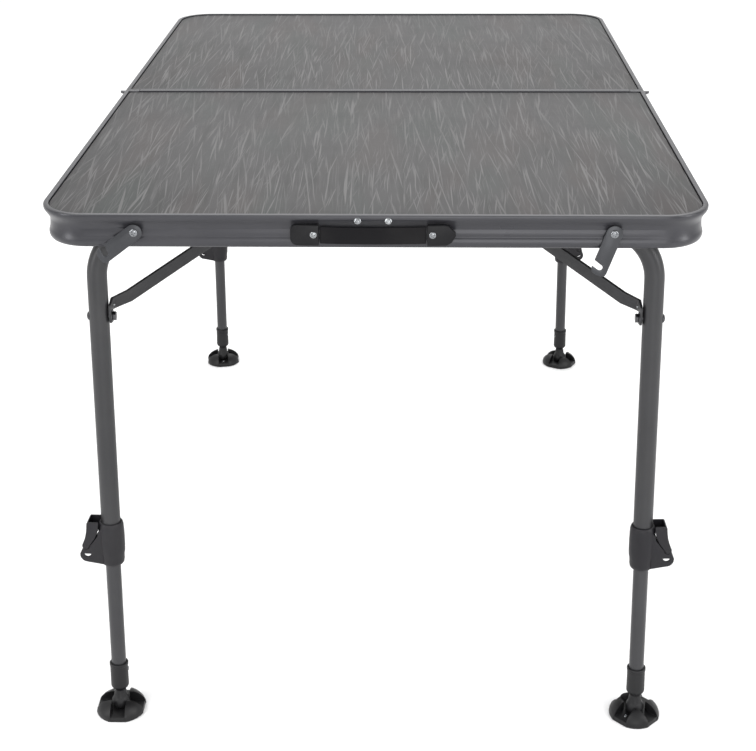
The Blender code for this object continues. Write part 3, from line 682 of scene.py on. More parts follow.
def seamCap(end, toward, side, hand):
    # one moulded corner: the rail's section, a plug behind it and a strip that meets the seam
    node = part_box(f"{end}_{side}_seam_cap")
    near = min(abs(node[0].y), abs(node[1].y))
    far = max(abs(node[0].y), abs(node[1].y))
    section = [(hand * (halfWidth + out), tableTop + up) for out, up in railSection(ribbed=False)]
    cap = ease(slab(section, far - near, "y", toward * (near + far) / 2), 0.0003, 1)

    def part(one, two):
        places = [(hand * (halfWidth - out), toward * y, tableTop - down) for out, y, down in (one, two)]
        return block([min(pair) for pair in zip(*places)], [max(pair) for pair in zip(*places)])

    seatIn = seamShape["seatIn"]
    seatDown = seamShape["seatDown"]
    plug = ease(part((seatIn, near, seatDown + 0.001), seamShape["plugEnd"]), 0.0005, 1)
    stripEnd = (seamShape["stripIn"], seamShape["lipWidth"], seatDown + 0.0005)
    strip = ease(part((seatIn, near, 0.0001), stripEnd), 0.0005, 2)
    fuse(cap, plug, strip)
    if end == "front":
        edge = halfWidth - 0.001
        reach = halfWidth + seamShape["lugReach"][side]
        run = seamShape["lugRun"][side]
        ear = [(edge, near), (reach - 0.0008, near), (reach, near + 0.0008), (reach - 0.0006, 0.0034),
               (halfWidth + 0.0004, run), (edge, run)]
        lug = slab([(hand * x, toward * y) for x, y in ear], seamShape["lugThickness"], "z",
                   tableTop - seamShape["lugDown"])
        fuse(cap, ease(lug, 0.0004, 2))
    return cap


for end, toward in ends:
    finish(seamRail(end, toward), end + "SeamRail", railMetal, end + "_top",
           [end + "_mid_rail"])
for end, toward, side, hand in corners:
    material = railMetal if end == "front" else rearCapPlastic
    finish(seamCap(end, toward, side, hand), f"{end}{side.title()}SeamCorner", material, end + "_top",
           [f"{end}_{side}_seam_cap"])
print("seam closed")


# leg tubes

def jointPlace(name):
    return Vector(joints[name]["pos_m"])


def legPlace(end, side):
    # a leg's own axes: from the cross tube's line, Z up the leg and X outwards
    up = Vector(joints[f"{end}_{side}_extension"]["axis"]).normalized()
    up *= math.copysign(1, up.z)
    ball = jointPlace(f"{end}_{side}_foot_tilt")
    pivot = jointPlace(end + "_leg_fold")
    outward = Vector((math.copysign(1, ball.x), 0, 0))
    outward = (outward - up * outward.dot(up)).normalized()
    place = Matrix((outward, up.cross(outward), up)).transposed().to_4x4()
    place.translation = ball + up * ((pivot.z - ball.z) / up.z)
    return place


tubeShape = {
    "radius": 0.0125,
    "lowerRadius": 0.0100,
    "wall": 0.0011,
    "bend": 0.068,
    "bendSteps": 16,
    "sides": 48,
    "upperEnd": 0.4460,
    "lowerTop": 0.3450,
    "lowerEnd": 0.6530,
}


def legBow(end):
    # one tube from a leg's end, round both bends, to the other leg's end, in its own plane
    place = legPlace(end, "right")
    up = place.col[2].xyz
    lean = math.asin(-up.x)
    legX = place.translation.x
    bend = tubeShape["bend"]
    turn = math.radians(90) - lean
    setback = bend * math.tan(turn / 2)
    run = tubeShape["upperEnd"] - setback
    bendX = legX - setback
    rise = (math.sin(lean), math.cos(lean))
    begin("circle", vertices=tubeShape["sides"], radius=tubeShape["radius"], fill_type="NOTHING")
    bpy.ops.transform.rotate(value=-lean, orient_axis="Y", center_override=(0, 0, 0))
    shift(-legX - rise[0] * tubeShape["upperEnd"], 0, -rise[1] * tubeShape["upperEnd"])
    extrude(rise[0] * run, 0, rise[1] * run)
    for x in (-bendX, bendX):
        bpy.ops.mesh.spin(steps=tubeShape["bendSteps"], angle=-turn, center=(x, 0, -bend), axis=(0, 1, 0))
        if x < 0:
            extrude(x=2 * bendX)
    extrude(rise[0] * run, 0, -rise[1] * run)
    bow = modify(closeMesh(), "SOLIDIFY", thickness=tubeShape["wall"], offset=-1)
    plane = Vector((0, up.y, up.z)).normalized()
    across = plane.cross(Vector((1, 0, 0)))
    own = Matrix((Vector((1, 0, 0)), across, plane)).transposed().to_4x4()
    own.translation = jointPlace(end + "_leg_fold")
    return settle(bow, own)


def lowerTube():
    length = tubeShape["lowerEnd"] - tubeShape["lowerTop"]
    begin("circle", vertices=tubeShape["sides"], radius=tubeShape["lowerRadius"], fill_type="NOTHING")
    shift(z=-tubeShape["lowerEnd"])
    extrude(z=length)
    return modify(closeMesh(), "SOLIDIFY", thickness=tubeShape["wall"], offset=-1)


for end, toward in ends:
    finish(legBow(end), end + "LegBow", upperTubeMetal, end + "_legs",
           [end + "_leg_frame"])


def mirrorPlace(end, side):
    # for a piece modelled at the front left corner
    return Matrix.Diagonal((1 if side == "left" else -1, 1 if end == "front" else -1, 1, 1))


def placeAtCorners(pattern, placing, pieceName, material, body, node=None, angle=35):
    # a piece is modelled once, and each corner gets a copy
    for end, toward, side, hand in corners:
        finish(settle(copyOf(pattern), placing(end, side)), end + side.title() + pieceName, material,
               body.format(end=end, side=side),
               [node.format(end=end, side=side)] if node else (), angle)
    bpy.data.objects.remove(pattern)


placeAtCorners(lowerTube(), legPlace, "LowerTube", lowerTubeMetal, "{end}_{side}_lower_leg",
               "{end}_{side}_lower_tube")
print("tubes bent")


# clamps and their levers

clampShape = {
    "pivot": (0.0325, -0.4365),
    "barrel": [(0.0130, -0.4046), (0.0134, -0.4040), (0.0146, -0.4044), (0.0157, -0.4062),
               (0.0163, -0.4092), (0.0167, -0.4150), (0.0170, -0.4250), (0.0170, -0.4400),
               (0.0167, -0.4480), (0.0158, -0.4525), (0.0156, -0.4605), (0.0150, -0.4640),
               (0.0139, -0.4655), (0.0134, -0.4655), (0.0131, -0.4570), (0.01035, -0.4565),
               (0.01035, -0.4466), (0.0130, -0.4464)],
    "shoulderThickness": 0.0244,
    "slope": [(0.0248, -0.4338), (0.0196, -0.4262), (0.0166, -0.4222), (0.0155, -0.4160),
              (0.0100, -0.4095)],
    "tongueThickness": 0.0200,
    "bores": ((0.0130, -0.4464, -0.39), (0.01035, -0.47, -0.44), (0.0131, -0.48, -0.4570)),
    "lobe": (0.0304, -0.4500),
    "lobeRadius": 0.0105,
    "leverThickness": 0.0250,
    "leverWall": 0.0022,
    "leverTip": [(0.0146, -0.4020), (0.0276, -0.4020)],
    "leverBack": [(0.0308, -0.4120), (0.0318, -0.4190), (0.0334, -0.4255), (0.0354, -0.4308)],
    "leverFront": [(0.0255, -0.4330), (0.0200, -0.4250), (0.0170, -0.4178), (0.0148, -0.4090)],
    "leverHollow": [(0.0280, -0.39), (0.0284, -0.4120), (0.0294, -0.4190), (0.0310, -0.4262),
                    (0.0330, -0.4315), (0.0450, -0.4330), (0.0450, -0.4500), (0.0050, -0.4500)],
    "pocket": ((0.0232, -0.4720), (0.0385, -0.4436)),
    "pocketHalf": 0.0096,
}


def clampBody():
    px, pz = clampShape["pivot"]
    barrel = turned(clampShape["barrel"], closed=True)
    lobe = arc(clampShape["lobe"], clampShape["lobeRadius"], -88, 8, 8)
    shoulder = [(0.0100, -0.4640)] + lobe + [(0.0398, -0.4462), (0.0378, -0.4424)]
    shoulder += arc((px, pz), 0.0053, -55, -190, 10) + clampShape["slope"]
    shoulder = ease(slab(shoulder, clampShape["shoulderThickness"]), 0.0011, 3, 30)
    tongue = [(0.0200, -0.4480), (0.0376, -0.4480), (0.0362, -0.4400)]
    tongue += arc((px, pz), 0.0046, -20, 170, 9) + [(0.0270, -0.4400)]
    tongue = ease(slab(tongue, clampShape["tongueThickness"]), 0.0004, 1)
    body = fuse(barrel, shoulder, tongue)
    moon = [(px - 0.0064, -0.4480), (px + 0.0030, -0.4480)]
    moon += arc((px - 0.0017, -0.4480), 0.0047, -12, -168, 8)
    window = slab(moon, 0.04)
    low, high = clampShape["pocket"]
    half = clampShape["pocketHalf"]
    hollow = block((low[0], -half, low[1]), (high[0], half, high[1]))
    return cut(body, window, hollow, *[rod(*values) for values in clampShape["bores"]])


def clampLever():
    px, pz = clampShape["pivot"]
    outline = clampShape["leverTip"] + arc((0.0276, -0.4046), 0.0026, 70, 0, 3)
    outline += clampShape["leverBack"] + arc((px, pz), 0.0049, 28, -120, 8) + clampShape["leverFront"]
    thickness = clampShape["leverThickness"]
    lever = ease(slab(outline, thickness), 0.0008, 3, 30)
    cut(lever, slab([(0.0050, -0.39)] + clampShape["leverHollow"], thickness - 2 * clampShape["leverWall"]))
    pin = settle(rod(0.0019, -0.0129, 0.0129, 24), Matrix.Translation((px, 0, pz))
                 @ Matrix.Rotation(math.radians(90), 4, "X"))
    return fuse(lever, ease(pin, 0.0003, 1))


placeAtCorners(clampBody(), legPlace, "ClampBody", clampPlastic, "{end}_legs",
               "{end}_{side}_clamp")
placeAtCorners(clampLever(), legPlace, "ClampLever", clampPlastic, "{end}_{side}_lever",
               "{end}_{side}_clamp_lever")
print("clamps fitted")


# sleeves with their balls, and the swivel feet

footShape = {
    "sleeve": [(0.0102, -0.6226), (0.0106, -0.6220), (0.0122, -0.6219), (0.0127, -0.6226),
               (0.0127, -0.6256), (0.0121, -0.6264), (0.0121, -0.6400), (0.0123, -0.6560),
               (0.0122, -0.6584), (0.0114, -0.6604), (0.0092, -0.6624), (0.0078, -0.6640),
               (0.0074, -0.6662), (0.0082, -0.6686)],
    "ballRadius": 0.0125,
    "socket": (0.0102, -0.6535),
    "dome": [(0, 0), (0.0331, 0), (0.0339, 0.0006), (0.0343, 0.0020), (0.0341, 0.0052),
             (0.0324, 0.0100), (0.0288, 0.0148), (0.0240, 0.0186), (0.0190, 0.0206), (0.0150, 0.0208),
             (0.0140, 0.0197), (0.0136, 0.0172)],
    "cup": 0.0130,
    "channel": 0.0202,
    "channelFloor": 0.0072,
    "rimCut": 0.0316,
    "turns": {"frontleft": 0, "frontright": 45, "rearleft": 8, "rearright": 62},
    "screwTurns": {"frontleft": 0, "frontright": -135, "rearleft": -82, "rearright": 62},
    "screwSpot": (0.0195, 0.0070),
    "sleeveTurns": {"frontleft": -165, "frontright": 124, "rearleft": 160, "rearright": -160},
    "sleeveSpot": (0.0120, 0, -0.6345),
}
ballStation = (jointPlace("front_leg_fold").z - jointPlace("front_left_foot_tilt").z) / legPlace(
    "front", "left").col[2].z


def sleeve():
    centre = -ballStation
    radius = footShape["ballRadius"]
    ball = [(radius * math.cos(a), centre + radius * math.sin(a))
            for a in [math.radians(44 - 134 * n / 14) for n in range(15)]]
    ball[-1] = (0, centre - radius)
    profile = [(0, footShape["socket"][1]), footShape["socket"]] + footShape["sleeve"] + ball
    return turned(profile)


def footPad():
    # a dome with a cup for the ball, split into four lobes by two crossing channels
    centre = jointPlace("front_left_foot_tilt").z
    cup = footShape["cup"]
    bowl = [(cup * math.cos(a), centre + cup * math.sin(a))
            for a in [math.radians(12 - 102 * n / 10) for n in range(11)]]
    bowl[-1] = (0, centre - cup)
    pad = turned(footShape["dome"] + bowl, 64)
    half = footShape["channel"] / 2
    far = 0.05
    for quarter in (0, 90):
        channel = block((-half, -far, footShape["channelFloor"]), (half, far, far))
        cut(pad, settle(channel, Matrix.Rotation(math.radians(quarter), 4, "Z")))
    for quarter in range(4):
        step = block((-half - 0.0008, footShape["rimCut"], -0.01), (half + 0.0008, far, 0.01))
        cut(pad, settle(step, Matrix.Rotation(math.radians(90 * quarter), 4, "Z")))
    return ease(pad, 0.0011, 3, 38)


def padPlace(end, side):
    ball = jointPlace(f"{end}_{side}_foot_tilt")
    turn = math.radians(footShape["turns"][end + side])
    return Matrix.Translation((ball.x, ball.y, 0)) @ Matrix.Rotation(turn, 4, "Z")


placeAtCorners(sleeve(), legPlace, "FootSleeve", sleevePlastic, "{end}_{side}_lower_leg",
               "{end}_{side}_foot_sleeve")
placeAtCorners(footPad(), padPlace, "SwivelFoot", footRubber, "{end}_{side}_swivel_foot",
               "{end}_{side}_foot", angle=40)
print("feet made")


# screws and bolts, each modelled once

screwShape = {
    "sides": 36,
    "crossWidth": 0.17,
    "crossReach": 0.56,
    "crossDepth": 0.5,
    "crossTurn": 20,
    "root": 0.0006,
    "sizes": {"handle": (0.0042, 0.0022), "lip": (0.0044, 0.0026), "hook": (0.0050, 0.0030),
              "sleeve": (0.0028, 0.0013), "foot": (0.0026, 0.0016), "leaf": (0.0024, 0.0011)},
}


def panScrew(size):
    # a domed head with a cross slot, standing on its own XY plane
    radius, height = screwShape["sizes"][size]
    root = screwShape["root"]
    dome = [(radius * math.cos(a), height * (0.35 + 0.65 * math.sin(a)))
            for a in [math.radians(12 * n) for n in range(8)]]
    head = turned([(0, -root), (radius * 0.98, -root), (radius, 0.0)] + dome[:-1] + [(0, height)],
                  screwShape["sides"])
    half = radius * screwShape["crossWidth"]
    reach = radius * screwShape["crossReach"]
    for quarter in (screwShape["crossTurn"], screwShape["crossTurn"] + 90):
        slot = block((-reach, -half, height * screwShape["crossDepth"]), (reach, half, height * 2))
        cut(head, settle(slot, Matrix.Rotation(math.radians(quarter), 4, "Z")))
    return head


def bolt(radius, height, washer):
    # a six-sided head with eased corners over its washer
    begin("cylinder", vertices=6, radius=radius, depth=height)
    shift(z=height / 2 + washer)
    head = ease(closeMesh(), radius * 0.10, 2, 50)
    return fuse(head, ease(rod(radius * 1.25, 0, washer + 0.0001, 36), washer * 0.3, 1))


def scatter(pattern, places, direction):
    # copies of a fastener, all facing the same way, as one piece
    copies = [settle(copyOf(pattern), standing(place, direction)) for place in places]
    bpy.data.objects.remove(pattern)
    return bundle(copies)


# braces with their rivets, and the bolts at their pins

braceShape = {
    "width": 0.0165,
    "thickness": 0.0046,
    "tab": 0.0030,
    "shoulder": 0.0102,
    "rivet": [(0, -0.0005), (0.0018, -0.0005), (0.0018, 0.0004), (0.00126, 0.0011), (0, 0.0014)],
    "inset": 0.0017,
    "recess": 0.0029,
    "edge": 0.0007,
}


def frontLeftBrace():
    # from the leg's pin up to the shoulder, along the run, and flat again at the slider's pin
    pin = jointPlace("front_brace_swing")
    low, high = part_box("front_left_brace")
    pin.x = low.x + braceShape["tab"] / 2
    far = jointPlace("front_slider_level")
    far.x = high.x - braceShape["tab"] / 2
    up = Vector((0, 0, 1))
    out = Vector((1, 0, 0))
    shoulder = pin + Vector((0, 0.0010, braceShape["shoulder"]))
    run = (far - shoulder).normalized()
    level = Vector((run.y, -run.x, 0)).normalized()
    flat = Vector((0, run.y, run.z)).normalized()
    facing = (out + level).normalized()
    half = braceShape["width"] / 2
    thin = braceShape["tab"]
    full = braceShape["thickness"]
    stations = [
        (pin - up * 0.0080, up, out, half * 0.60, thin),
        (pin - up * 0.0050, up, out, half * 0.92, thin),
        (pin + up * 0.0040, up, out, half, thin),
        (shoulder, (flat + up).normalized(), out, half * 1.12, thin),
        (shoulder + flat * 0.0095 + out * 0.0020, flat, facing, half * 1.02, full * 0.85),
        (shoulder + run * 0.0300, run, level, half, full),
        (far - run * 0.0250, run, level, half, full),
        (far - flat * 0.0090 - out * 0.0010, flat, facing, half, full * 0.85),
        (far - flat * 0.0040, flat, out, half * 0.98, thin),
        (far + flat * 0.0050, flat, out, half * 0.90, thin),
        (far + flat * 0.0082, flat, out, half * 0.55, thin),
    ]
    rings = []

    def pickAt(*places):
        pick("VERT", lambda v: min((v.co - place).length for place in places) < 0.000003)

    for centre, along, normal, reach, thickness in stations:
        wide = along.cross(normal).normalized() * reach
        deep = normal * thickness / 2
        rings.append([centre + deep + wide, centre + deep - wide, centre - deep - wide,
                      centre - deep + wide])
    drawLine(rings[0])
    bpy.ops.mesh.edge_face_add()
    for one, two in zip(rings, rings[1:]):
        step = sum(two, Vector()) / 4 - sum(one, Vector()) / 4
        extrude(*step)
        for old, new in zip(one, two):
            pickAt(old + step)
            shift(*(new - old - step))
        pickAt(*two)
    brace = closeMesh()
    bpy.ops.object.mode_set(mode="EDIT")
    centre = (shoulder + far) / 2
    pick("FACE", lambda f: (f.calc_center_median() - centre).length < 0.03 and f.normal.dot(level) < -0.9)
    bpy.ops.mesh.inset(thickness=braceShape["inset"])
    extrude(*(level * braceShape["recess"]))
    objectMode()
    seat = shoulder + flat * 0.0065 + out * 0.0012 + facing * full * 0.42
    rivet = settle(turned(braceShape["rivet"], 24), standing(seat, facing))
    return ease(brace, braceShape["edge"], 2, 25), rivet


brace, rivet = frontLeftBrace()
placeAtCorners(rivet, mirrorPlace, "BraceRivet", screwSteel, "{end}_braces")
placeAtCorners(brace, mirrorPlace, "Brace", braceMetal, "{end}_braces",
               "{end}_{side}_brace", angle=30)


boltShape = {
    "head": [(0, 0.0026), (0.0022, 0.0025), (0.0042, 0.0018), (0.0052, 0.0008), (0.0054, 0), (0, 0)],
    "headIn": 0.0042,
    "washer": (0.0058, -0.0012, 0.0010),
    "washerIn": 0.0048,
    "shankRadius": 0.0030,
    "nut": (0.0062, 0.0042, 0.0012),
    "nutIn": 0.0056,
}


def frontLeftBolt():
    # the bolt's domed head outside the leg, and its washer and nut inside the brace
    low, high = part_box("front_left_brace_pin")
    pin = jointPlace("front_brace_swing")

    def outward(inset):
        return standing((low.x + inset, pin.y, pin.z), (-1, 0, 0))

    head = settle(turned(boltShape["head"], 36), outward(boltShape["headIn"]))
    washer = settle(ease(rod(*boltShape["washer"], 36), 0.0003, 1), outward(boltShape["washerIn"]))
    shank = settle(rod(boltShape["shankRadius"], low.x + 0.002, high.x - 0.001, 24),
                   Matrix.Translation((0, pin.y, pin.z)) @ Matrix.Rotation(math.radians(90), 4, "Y"))
    nutPlace = standing((high.x - boltShape["nutIn"], pin.y, pin.z), (1, 0, 0))
    nut = settle(bolt(*boltShape["nut"]), nutPlace)
    return bundle([head, washer, shank, nut])


placeAtCorners(frontLeftBolt(), mirrorPlace, "BraceBolt", boltSteel, "{end}_legs",
               "{end}_{side}_brace_pin")
print("braces bolted on")


# bearings under the board

bearingShape = {"reach": 0.0170, "waist": 0.0155, "drop": 0.0149, "bore": 0.0131, "pocketInset": 0.0028,
                "pocketDepth": 0.0020}


def frontLeftBearing():
    low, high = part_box("front_left_bearing")
    pivot = jointPlace("front_leg_fold")
    y, z = pivot.y, pivot.z
    reach = bearingShape["reach"]
    side = [(y - reach, high.z), (y - reach, high.z - 0.006)]
    side += arc((y, z), bearingShape["drop"], 192, 348, 14)
    side += [(y + reach, high.z - 0.006), (y + reach, high.z)]
    piece = slab(side, high.x - low.x, "x", (low.x + high.x) / 2)
    bpy.ops.object.mode_set(mode="EDIT")
    pick("FACE", lambda f: abs(f.normal.x) > 0.9)
    bpy.ops.mesh.inset(thickness=bearingShape["pocketInset"])
    bpy.ops.mesh.extrude_region_shrink_fatten(
        TRANSFORM_OT_shrink_fatten={"value": -bearingShape["pocketDepth"]})
    objectMode()
    ease(piece, 0.0007, 2, 35)
    bore = rod(bearingShape["bore"], -0.03, 0.03, 48)
    hub = rod(bearingShape["bore"] + 0.0016, low.x + 0.0004, high.x - 0.0004, 48)
    turn = Matrix.Rotation(math.radians(90), 4, "Y")
    settle(hub, Matrix.Translation((0, y, z)) @ turn)
    settle(bore, Matrix.Translation(((low.x + high.x) / 2, y, z)) @ turn)
    return cut(fuse(piece, hub), bore)


placeAtCorners(frontLeftBearing(), mirrorPlace, "Bearing", bearingPlastic, "{end}_top",
               "{end}_{side}_bearing")
print("bearings fixed")


# carrying handle

handleShape = {
    "slot": 0.0630,
    "capHalfHeight": 0.0128,
    "strapHalfHeight": 0.0104,
    "strapThickness": 0.0030,
    "strapFace": 0.0060,
    "strapSteps": 16,
    "standOff": 0.0030,
    "bulge": 0.0028,
    "panelInset": 0.0022,
    "panelDepth": 0.0005,
    "capCorner": 0.0080,
    "capTaper": 0.0020,
    "screwX": 0.0700,
    "boltX": 0.0180,
    "boltDown": 0.0068,
}


def handleStrap():
    low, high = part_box("handle_strap")
    face = low.y + handleShape["strapFace"] - handleShape["standOff"]
    half = handleShape["slot"] - 0.0006
    steps = handleShape["strapSteps"]
    shares = [1 - 2 * n / steps for n in range(steps + 1)]
    front = [(half * share, face - handleShape["bulge"] * math.cos(math.pi / 2 * share) ** 0.7)
             for share in shares]
    back = [(x, y + handleShape["strapThickness"]) for x, y in reversed(front)]
    strap = slab(front + back, 2 * handleShape["strapHalfHeight"], "z", (low.z + high.z) / 2)
    bpy.ops.object.mode_set(mode="EDIT")
    pick("FACE", lambda f: f.normal.y < -0.7)
    bpy.ops.mesh.inset(thickness=handleShape["panelInset"])
    shift(y=handleShape["panelDepth"])
    objectMode()
    return ease(strap, 0.0009, 3, 35)


def handleCap(side, hand):
    low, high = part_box(f"handle_cap_{side}")
    z = (low.z + high.z) / 2
    tall = handleShape["capHalfHeight"]
    inner = handleShape["slot"] + 0.0006
    outer = max(abs(low.x), abs(high.x))
    if side == "left":
        bend = handleShape["capCorner"]
        rounding = arc((outer - bend, z - tall + bend), bend, -90, 0, 5)
        rounding += arc((outer - bend, z + tall - bend), bend, 0, 90, 5)
    else:
        rounding = [(outer - 0.0110, z - tall), (outer - 0.0050, z - tall + 0.0035), (outer, z - 0.0008),
                    (outer - 0.0004, z + 0.0030), (outer - 0.0085, z + tall - 0.0016),
                    (outer - 0.0125, z + tall)]
    shape = [(inner, z + tall), (inner, z - tall)] + rounding
    back = high.y
    cap = slab([(hand * x, height) for x, height in shape], high.y - low.y, "y", (low.y + high.y) / 2)
    bpy.ops.object.mode_set(mode="EDIT")
    pick("VERT", lambda v: abs(v.co.x) > outer - 0.014 and v.co.y < back - 0.001)
    shift(y=handleShape["capTaper"])
    objectMode()
    return ease(cap, 0.0012, 3, 35)


finish(handleStrap(), "handleStrap", strapRubber, "front_top", ["handle_strap"])
for side, hand in hands:
    finish(handleCap(side, hand), f"handleCap{side.title()}", handleCapPlastic, "front_top",
           [f"handle_cap_{side}"])
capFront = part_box("handle_cap_left")[0].y
handleZ = sum(corner.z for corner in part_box("handle_cap_left")) / 2
screwPlaces = [(hand * handleShape["screwX"], capFront + 0.0003, handleZ + 0.0012) for side, hand in hands]
finish(scatter(panScrew("handle"), screwPlaces, (0, -1, 0)), "handleScrews", screwSteel,
       "front_top")
boltPlaces = [(hand * handleShape["boltX"], -halfLength + 0.0004, tableTop - handleShape["boltDown"])
              for side, hand in hands]
finish(scatter(panScrew("lip"), boltPlaces, (0, -0.94, 0.34)), "lipBolts", screwSteel,
       "front_top")
print("handle mounted")


# hooks at the front and studs at the rear

hookShape = {
    "half": 0.0099,
    "notchEnd": (-0.0005, -0.0445),
    "notchRadius": 0.0034,
    "notchTilt": 16,
    "turns": {"left": 53.0, "right": 19.0},
    "dimples": ((-0.0035, -0.0352), (0.0008, -0.0362)),
}


def hookPlate(side):
    # the plate as it hangs, with its notch towards -X
    half = hookShape["half"]
    tilt = hookShape["notchTilt"]
    notch = arc(hookShape["notchEnd"], hookShape["notchRadius"], 90 - tilt, -90 - tilt, 8)
    edge = [(-half, -0.0060), (-half, -0.0375)] + notch
    edge += [(-0.0096, -0.0452), (-0.0100, -0.0464), (-0.0090, -0.0498), (-0.0064, -0.0526),
             (-0.0024, -0.0542), (0.0030, -0.0545), (0.0074, -0.0539), (0.0093, -0.0522), (half, -0.0488)]
    edge += [(half, -0.0060)] + arc((0, 0), half, 8, 172, 14)
    low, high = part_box("hook_" + side)
    plate = ease(slab(edge, high.y - low.y), 0.00035, 2, 30)
    for x, z in hookShape["dimples"]:
        dimple = rod(0.0009, -0.01, -0.00060, 12)
        settle(dimple, Matrix.Translation((x, 0, z)) @ Matrix.Rotation(math.radians(-90), 4, "X"))
        cut(plate, dimple)
    pivot = jointPlace("latch_swing_" + side)
    return settle(plate, Matrix.Translation(pivot) @ Matrix.Rotation(
        math.radians(hookShape["turns"][side]), 4, "Y"))


for side, hand in hands:
    finish(hookPlate(side), f"latchHook{side.title()}", hookSteel, "latch_" + side,
           ["hook_" + side])
hookPlaces = [jointPlace("latch_swing_" + side) + Vector((0, -0.0007, 0)) for side, hand in hands]
finish(scatter(panScrew("hook"), hookPlaces, (0, -1, 0)), "hookScrews", screwSteel,
       "front_top")


# radius, and share of the stud's length
studProfile = [(0, 1), (0.0028, 0.98), (0.0042, 0.86), (0.0045, 0.74), (0.0042, 0.68), (0.0026, 0.64),
               (0.0026, 0.22), (0.0040, 0.16), (0.0042, 0), (0, 0)]


def rearStud(side):
    low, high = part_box("rear_stud_" + side)
    length = high.y - low.y
    profile = [(radius, length * share) for radius, share in studProfile]
    place = ((low.x + high.x) / 2, low.y, (low.z + high.z) / 2)
    return settle(turned(profile, 36), standing(place, (0, 1, 0)))


for side, hand in hands:
    finish(rearStud(side), f"latchStud{side.title()}", screwSteel, "rear_top",
           ["rear_stud_" + side])
print("hooks hung")


# screws in the sleeves, the feet and the underside

def sleeveScrewPlace(end, side):
    turn = math.radians(footShape["sleeveTurns"][end + side])
    return legPlace(end, side) @ Matrix.Rotation(turn, 4, "Z")


def footScrewPlace(end, side):
    reach, height = footShape["screwSpot"]
    ball = jointPlace(f"{end}_{side}_foot_tilt")
    turn = math.radians(footShape["screwTurns"][end + side])
    out = Vector((math.cos(turn), math.sin(turn), 0))
    return standing(Vector((ball.x, ball.y, height)) + out * reach, out * 0.12 + Vector((0, 0, 1)))


sleeveScrew = settle(panScrew("sleeve"), standing(footShape["sleeveSpot"], (1, 0, 0)))
placeAtCorners(sleeveScrew, sleeveScrewPlace, "SleeveScrew", screwSteel, "{end}_{side}_lower_leg")
placeAtCorners(panScrew("foot"), footScrewPlace, "FootScrew", screwSteel,
               "{end}_{side}_swivel_foot")
print("small screws driven")


undersideShape = {
    "leafSteps": (-0.0130, 0.0, 0.0130),
    "leafY": 0.0145,
    "leafDown": 0.0435,
    "rivetSteps": (-0.0850, -0.0850 / 3, 0.0850 / 3, 0.0850),
    "rivet": [(0, -0.0004), (0.0028, -0.0004), (0.0028, 0.0003), (0.0021, 0.0010), (0, 0.0013)],
    "channelWall": 0.0015,
}


def leafScrews(end, toward):
    places = []
    for side, hand in hands:
        low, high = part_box(f"{end}_hinge_leaf_{side}")
        middle = (low.x + high.x) / 2
        places += [(middle + step, toward * undersideShape["leafY"], tableTop - undersideShape["leafDown"])
                   for step in undersideShape["leafSteps"]]
    return scatter(panScrew("leaf"), places, (0, 0, -1))


def guideRivets(end):
    low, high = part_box(end + "_guide")
    middle = (low.y + high.y) / 2
    web = high.z - undersideShape["channelWall"]
    places = [(0, middle + step, web) for step in undersideShape["rivetSteps"]]
    return scatter(turned(undersideShape["rivet"], 24), places, (0, 0, -1))


for end, toward in ends:
    finish(leafScrews(end, toward), end + "LeafScrews", screwSteel, end + "_top")
    finish(guideRivets(end), end + "GuideRivets", screwSteel, end + "_top")
print("underside fastened")


# pieces that keep their CAD shape

keptShapes = {"guide": sliderMetal, "slider": sliderMetal, "hinge_leaf_left": hingeSteel,
              "hinge_leaf_right": hingeSteel}
for end, toward in ends:
    for ending, material in keptShapes.items():
        node = frame["nodes"][f"{end}_{ending}"]
        node.data.materials.clear()
        node.data.materials.append(material)
print("kept shapes coated")


# floor, lights and camera

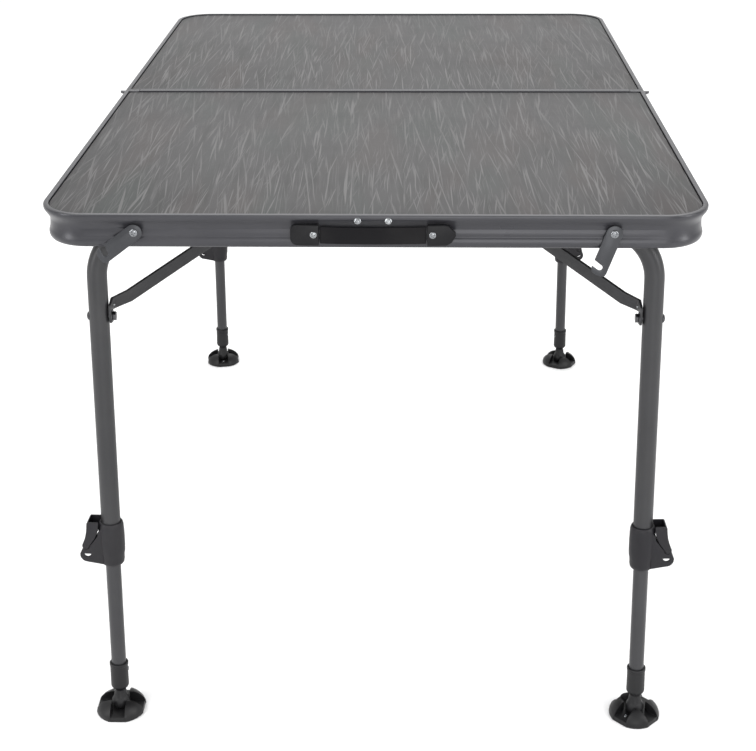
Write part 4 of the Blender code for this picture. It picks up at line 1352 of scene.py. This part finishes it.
studio = {
    "floorSize": 40.0,
    "floor": (250, 250, 250),
    "world": (1.0, 1.0, 1.0, 1.0),
    "worldStrength": 1.0,
    "place": (0.04864, -2.21170, 1.27402),
    "turnLeft": 0.0271298,
    "lookDown": 0.436943,
    "roll": -0.00583616,
    "lens": 69.0,
    "lights": [
        ((-1.9, -2.2, 2.6), 1.8, 40.0),
        ((2.4, -1.8, 2.2), 1.6, 30.0),
        ((0.0, 2.4, 3.4), 3.0, 60.0),
        ((0.4, -3.6, 1.0), 1.6, 26.0),
        ((-2.6, -2.0, 0.9), 0.7, 14.0),
        ((2.7, -1.7, 0.9), 0.7, 14.0),
    ],
}


def layFloor():
    begin("plane", size=studio["floorSize"])
    bpy.ops.mesh.subdivide(number_cuts=3)
    objectMode()
    floor = bpy.context.object
    floor.name = "studioFloor"
    material, tree, shader, place = startMaterial("palePaper")
    cloud = noise(tree, place, 3.0, 5.0, 0.6)
    shade = screenGrey(*studio["floor"])
    tree.links.new(blendColour(tree, cloud, shade, tuple(min(1.0, part * 1.02) for part in shade)),
                   shader.inputs["Base Color"])
    shader.inputs["Roughness"].default_value = 0.9
    floor.data.materials.append(material)


def hangLights():
    aim = Vector((0, 0, 0.5))
    for number, (place, size, power) in enumerate(studio["lights"]):
        data = bpy.data.lights.new(f"softbox{number}", "AREA")
        data.size = size
        data.energy = power
        lamp = bpy.data.objects.new(f"softbox{number}", data)
        bpy.context.scene.collection.objects.link(lamp)
        lamp.location = place
        lamp.rotation_euler = (aim - Vector(place)).to_track_quat("-Z", "Y").to_euler()
    world = bpy.data.worlds.new("studioAir")
    world.use_nodes = True
    sky = world.node_tree.nodes["Background"]
    sky.inputs["Color"].default_value = studio["world"]
    sky.inputs["Strength"].default_value = studio["worldStrength"]
    bpy.context.scene.world = world


def setCamera():
    camera = bpy.data.objects.new("studioCamera", bpy.data.cameras.new("studioCamera"))
    bpy.context.scene.collection.objects.link(camera)
    camera.data.lens = studio["lens"]
    camera.matrix_world = (Matrix.Translation(studio["place"])
                           @ Matrix.Rotation(studio["turnLeft"], 4, "Z")
                           @ Matrix.Rotation(math.radians(90) - studio["lookDown"], 4, "X")
                           @ Matrix.Rotation(studio["roll"], 4, "Z"))
    bpy.context.scene.camera = camera
    bpy.context.scene.view_settings.view_transform = "Standard"


layFloor()
hangLights()
setCamera()
hold()
print("stage set")
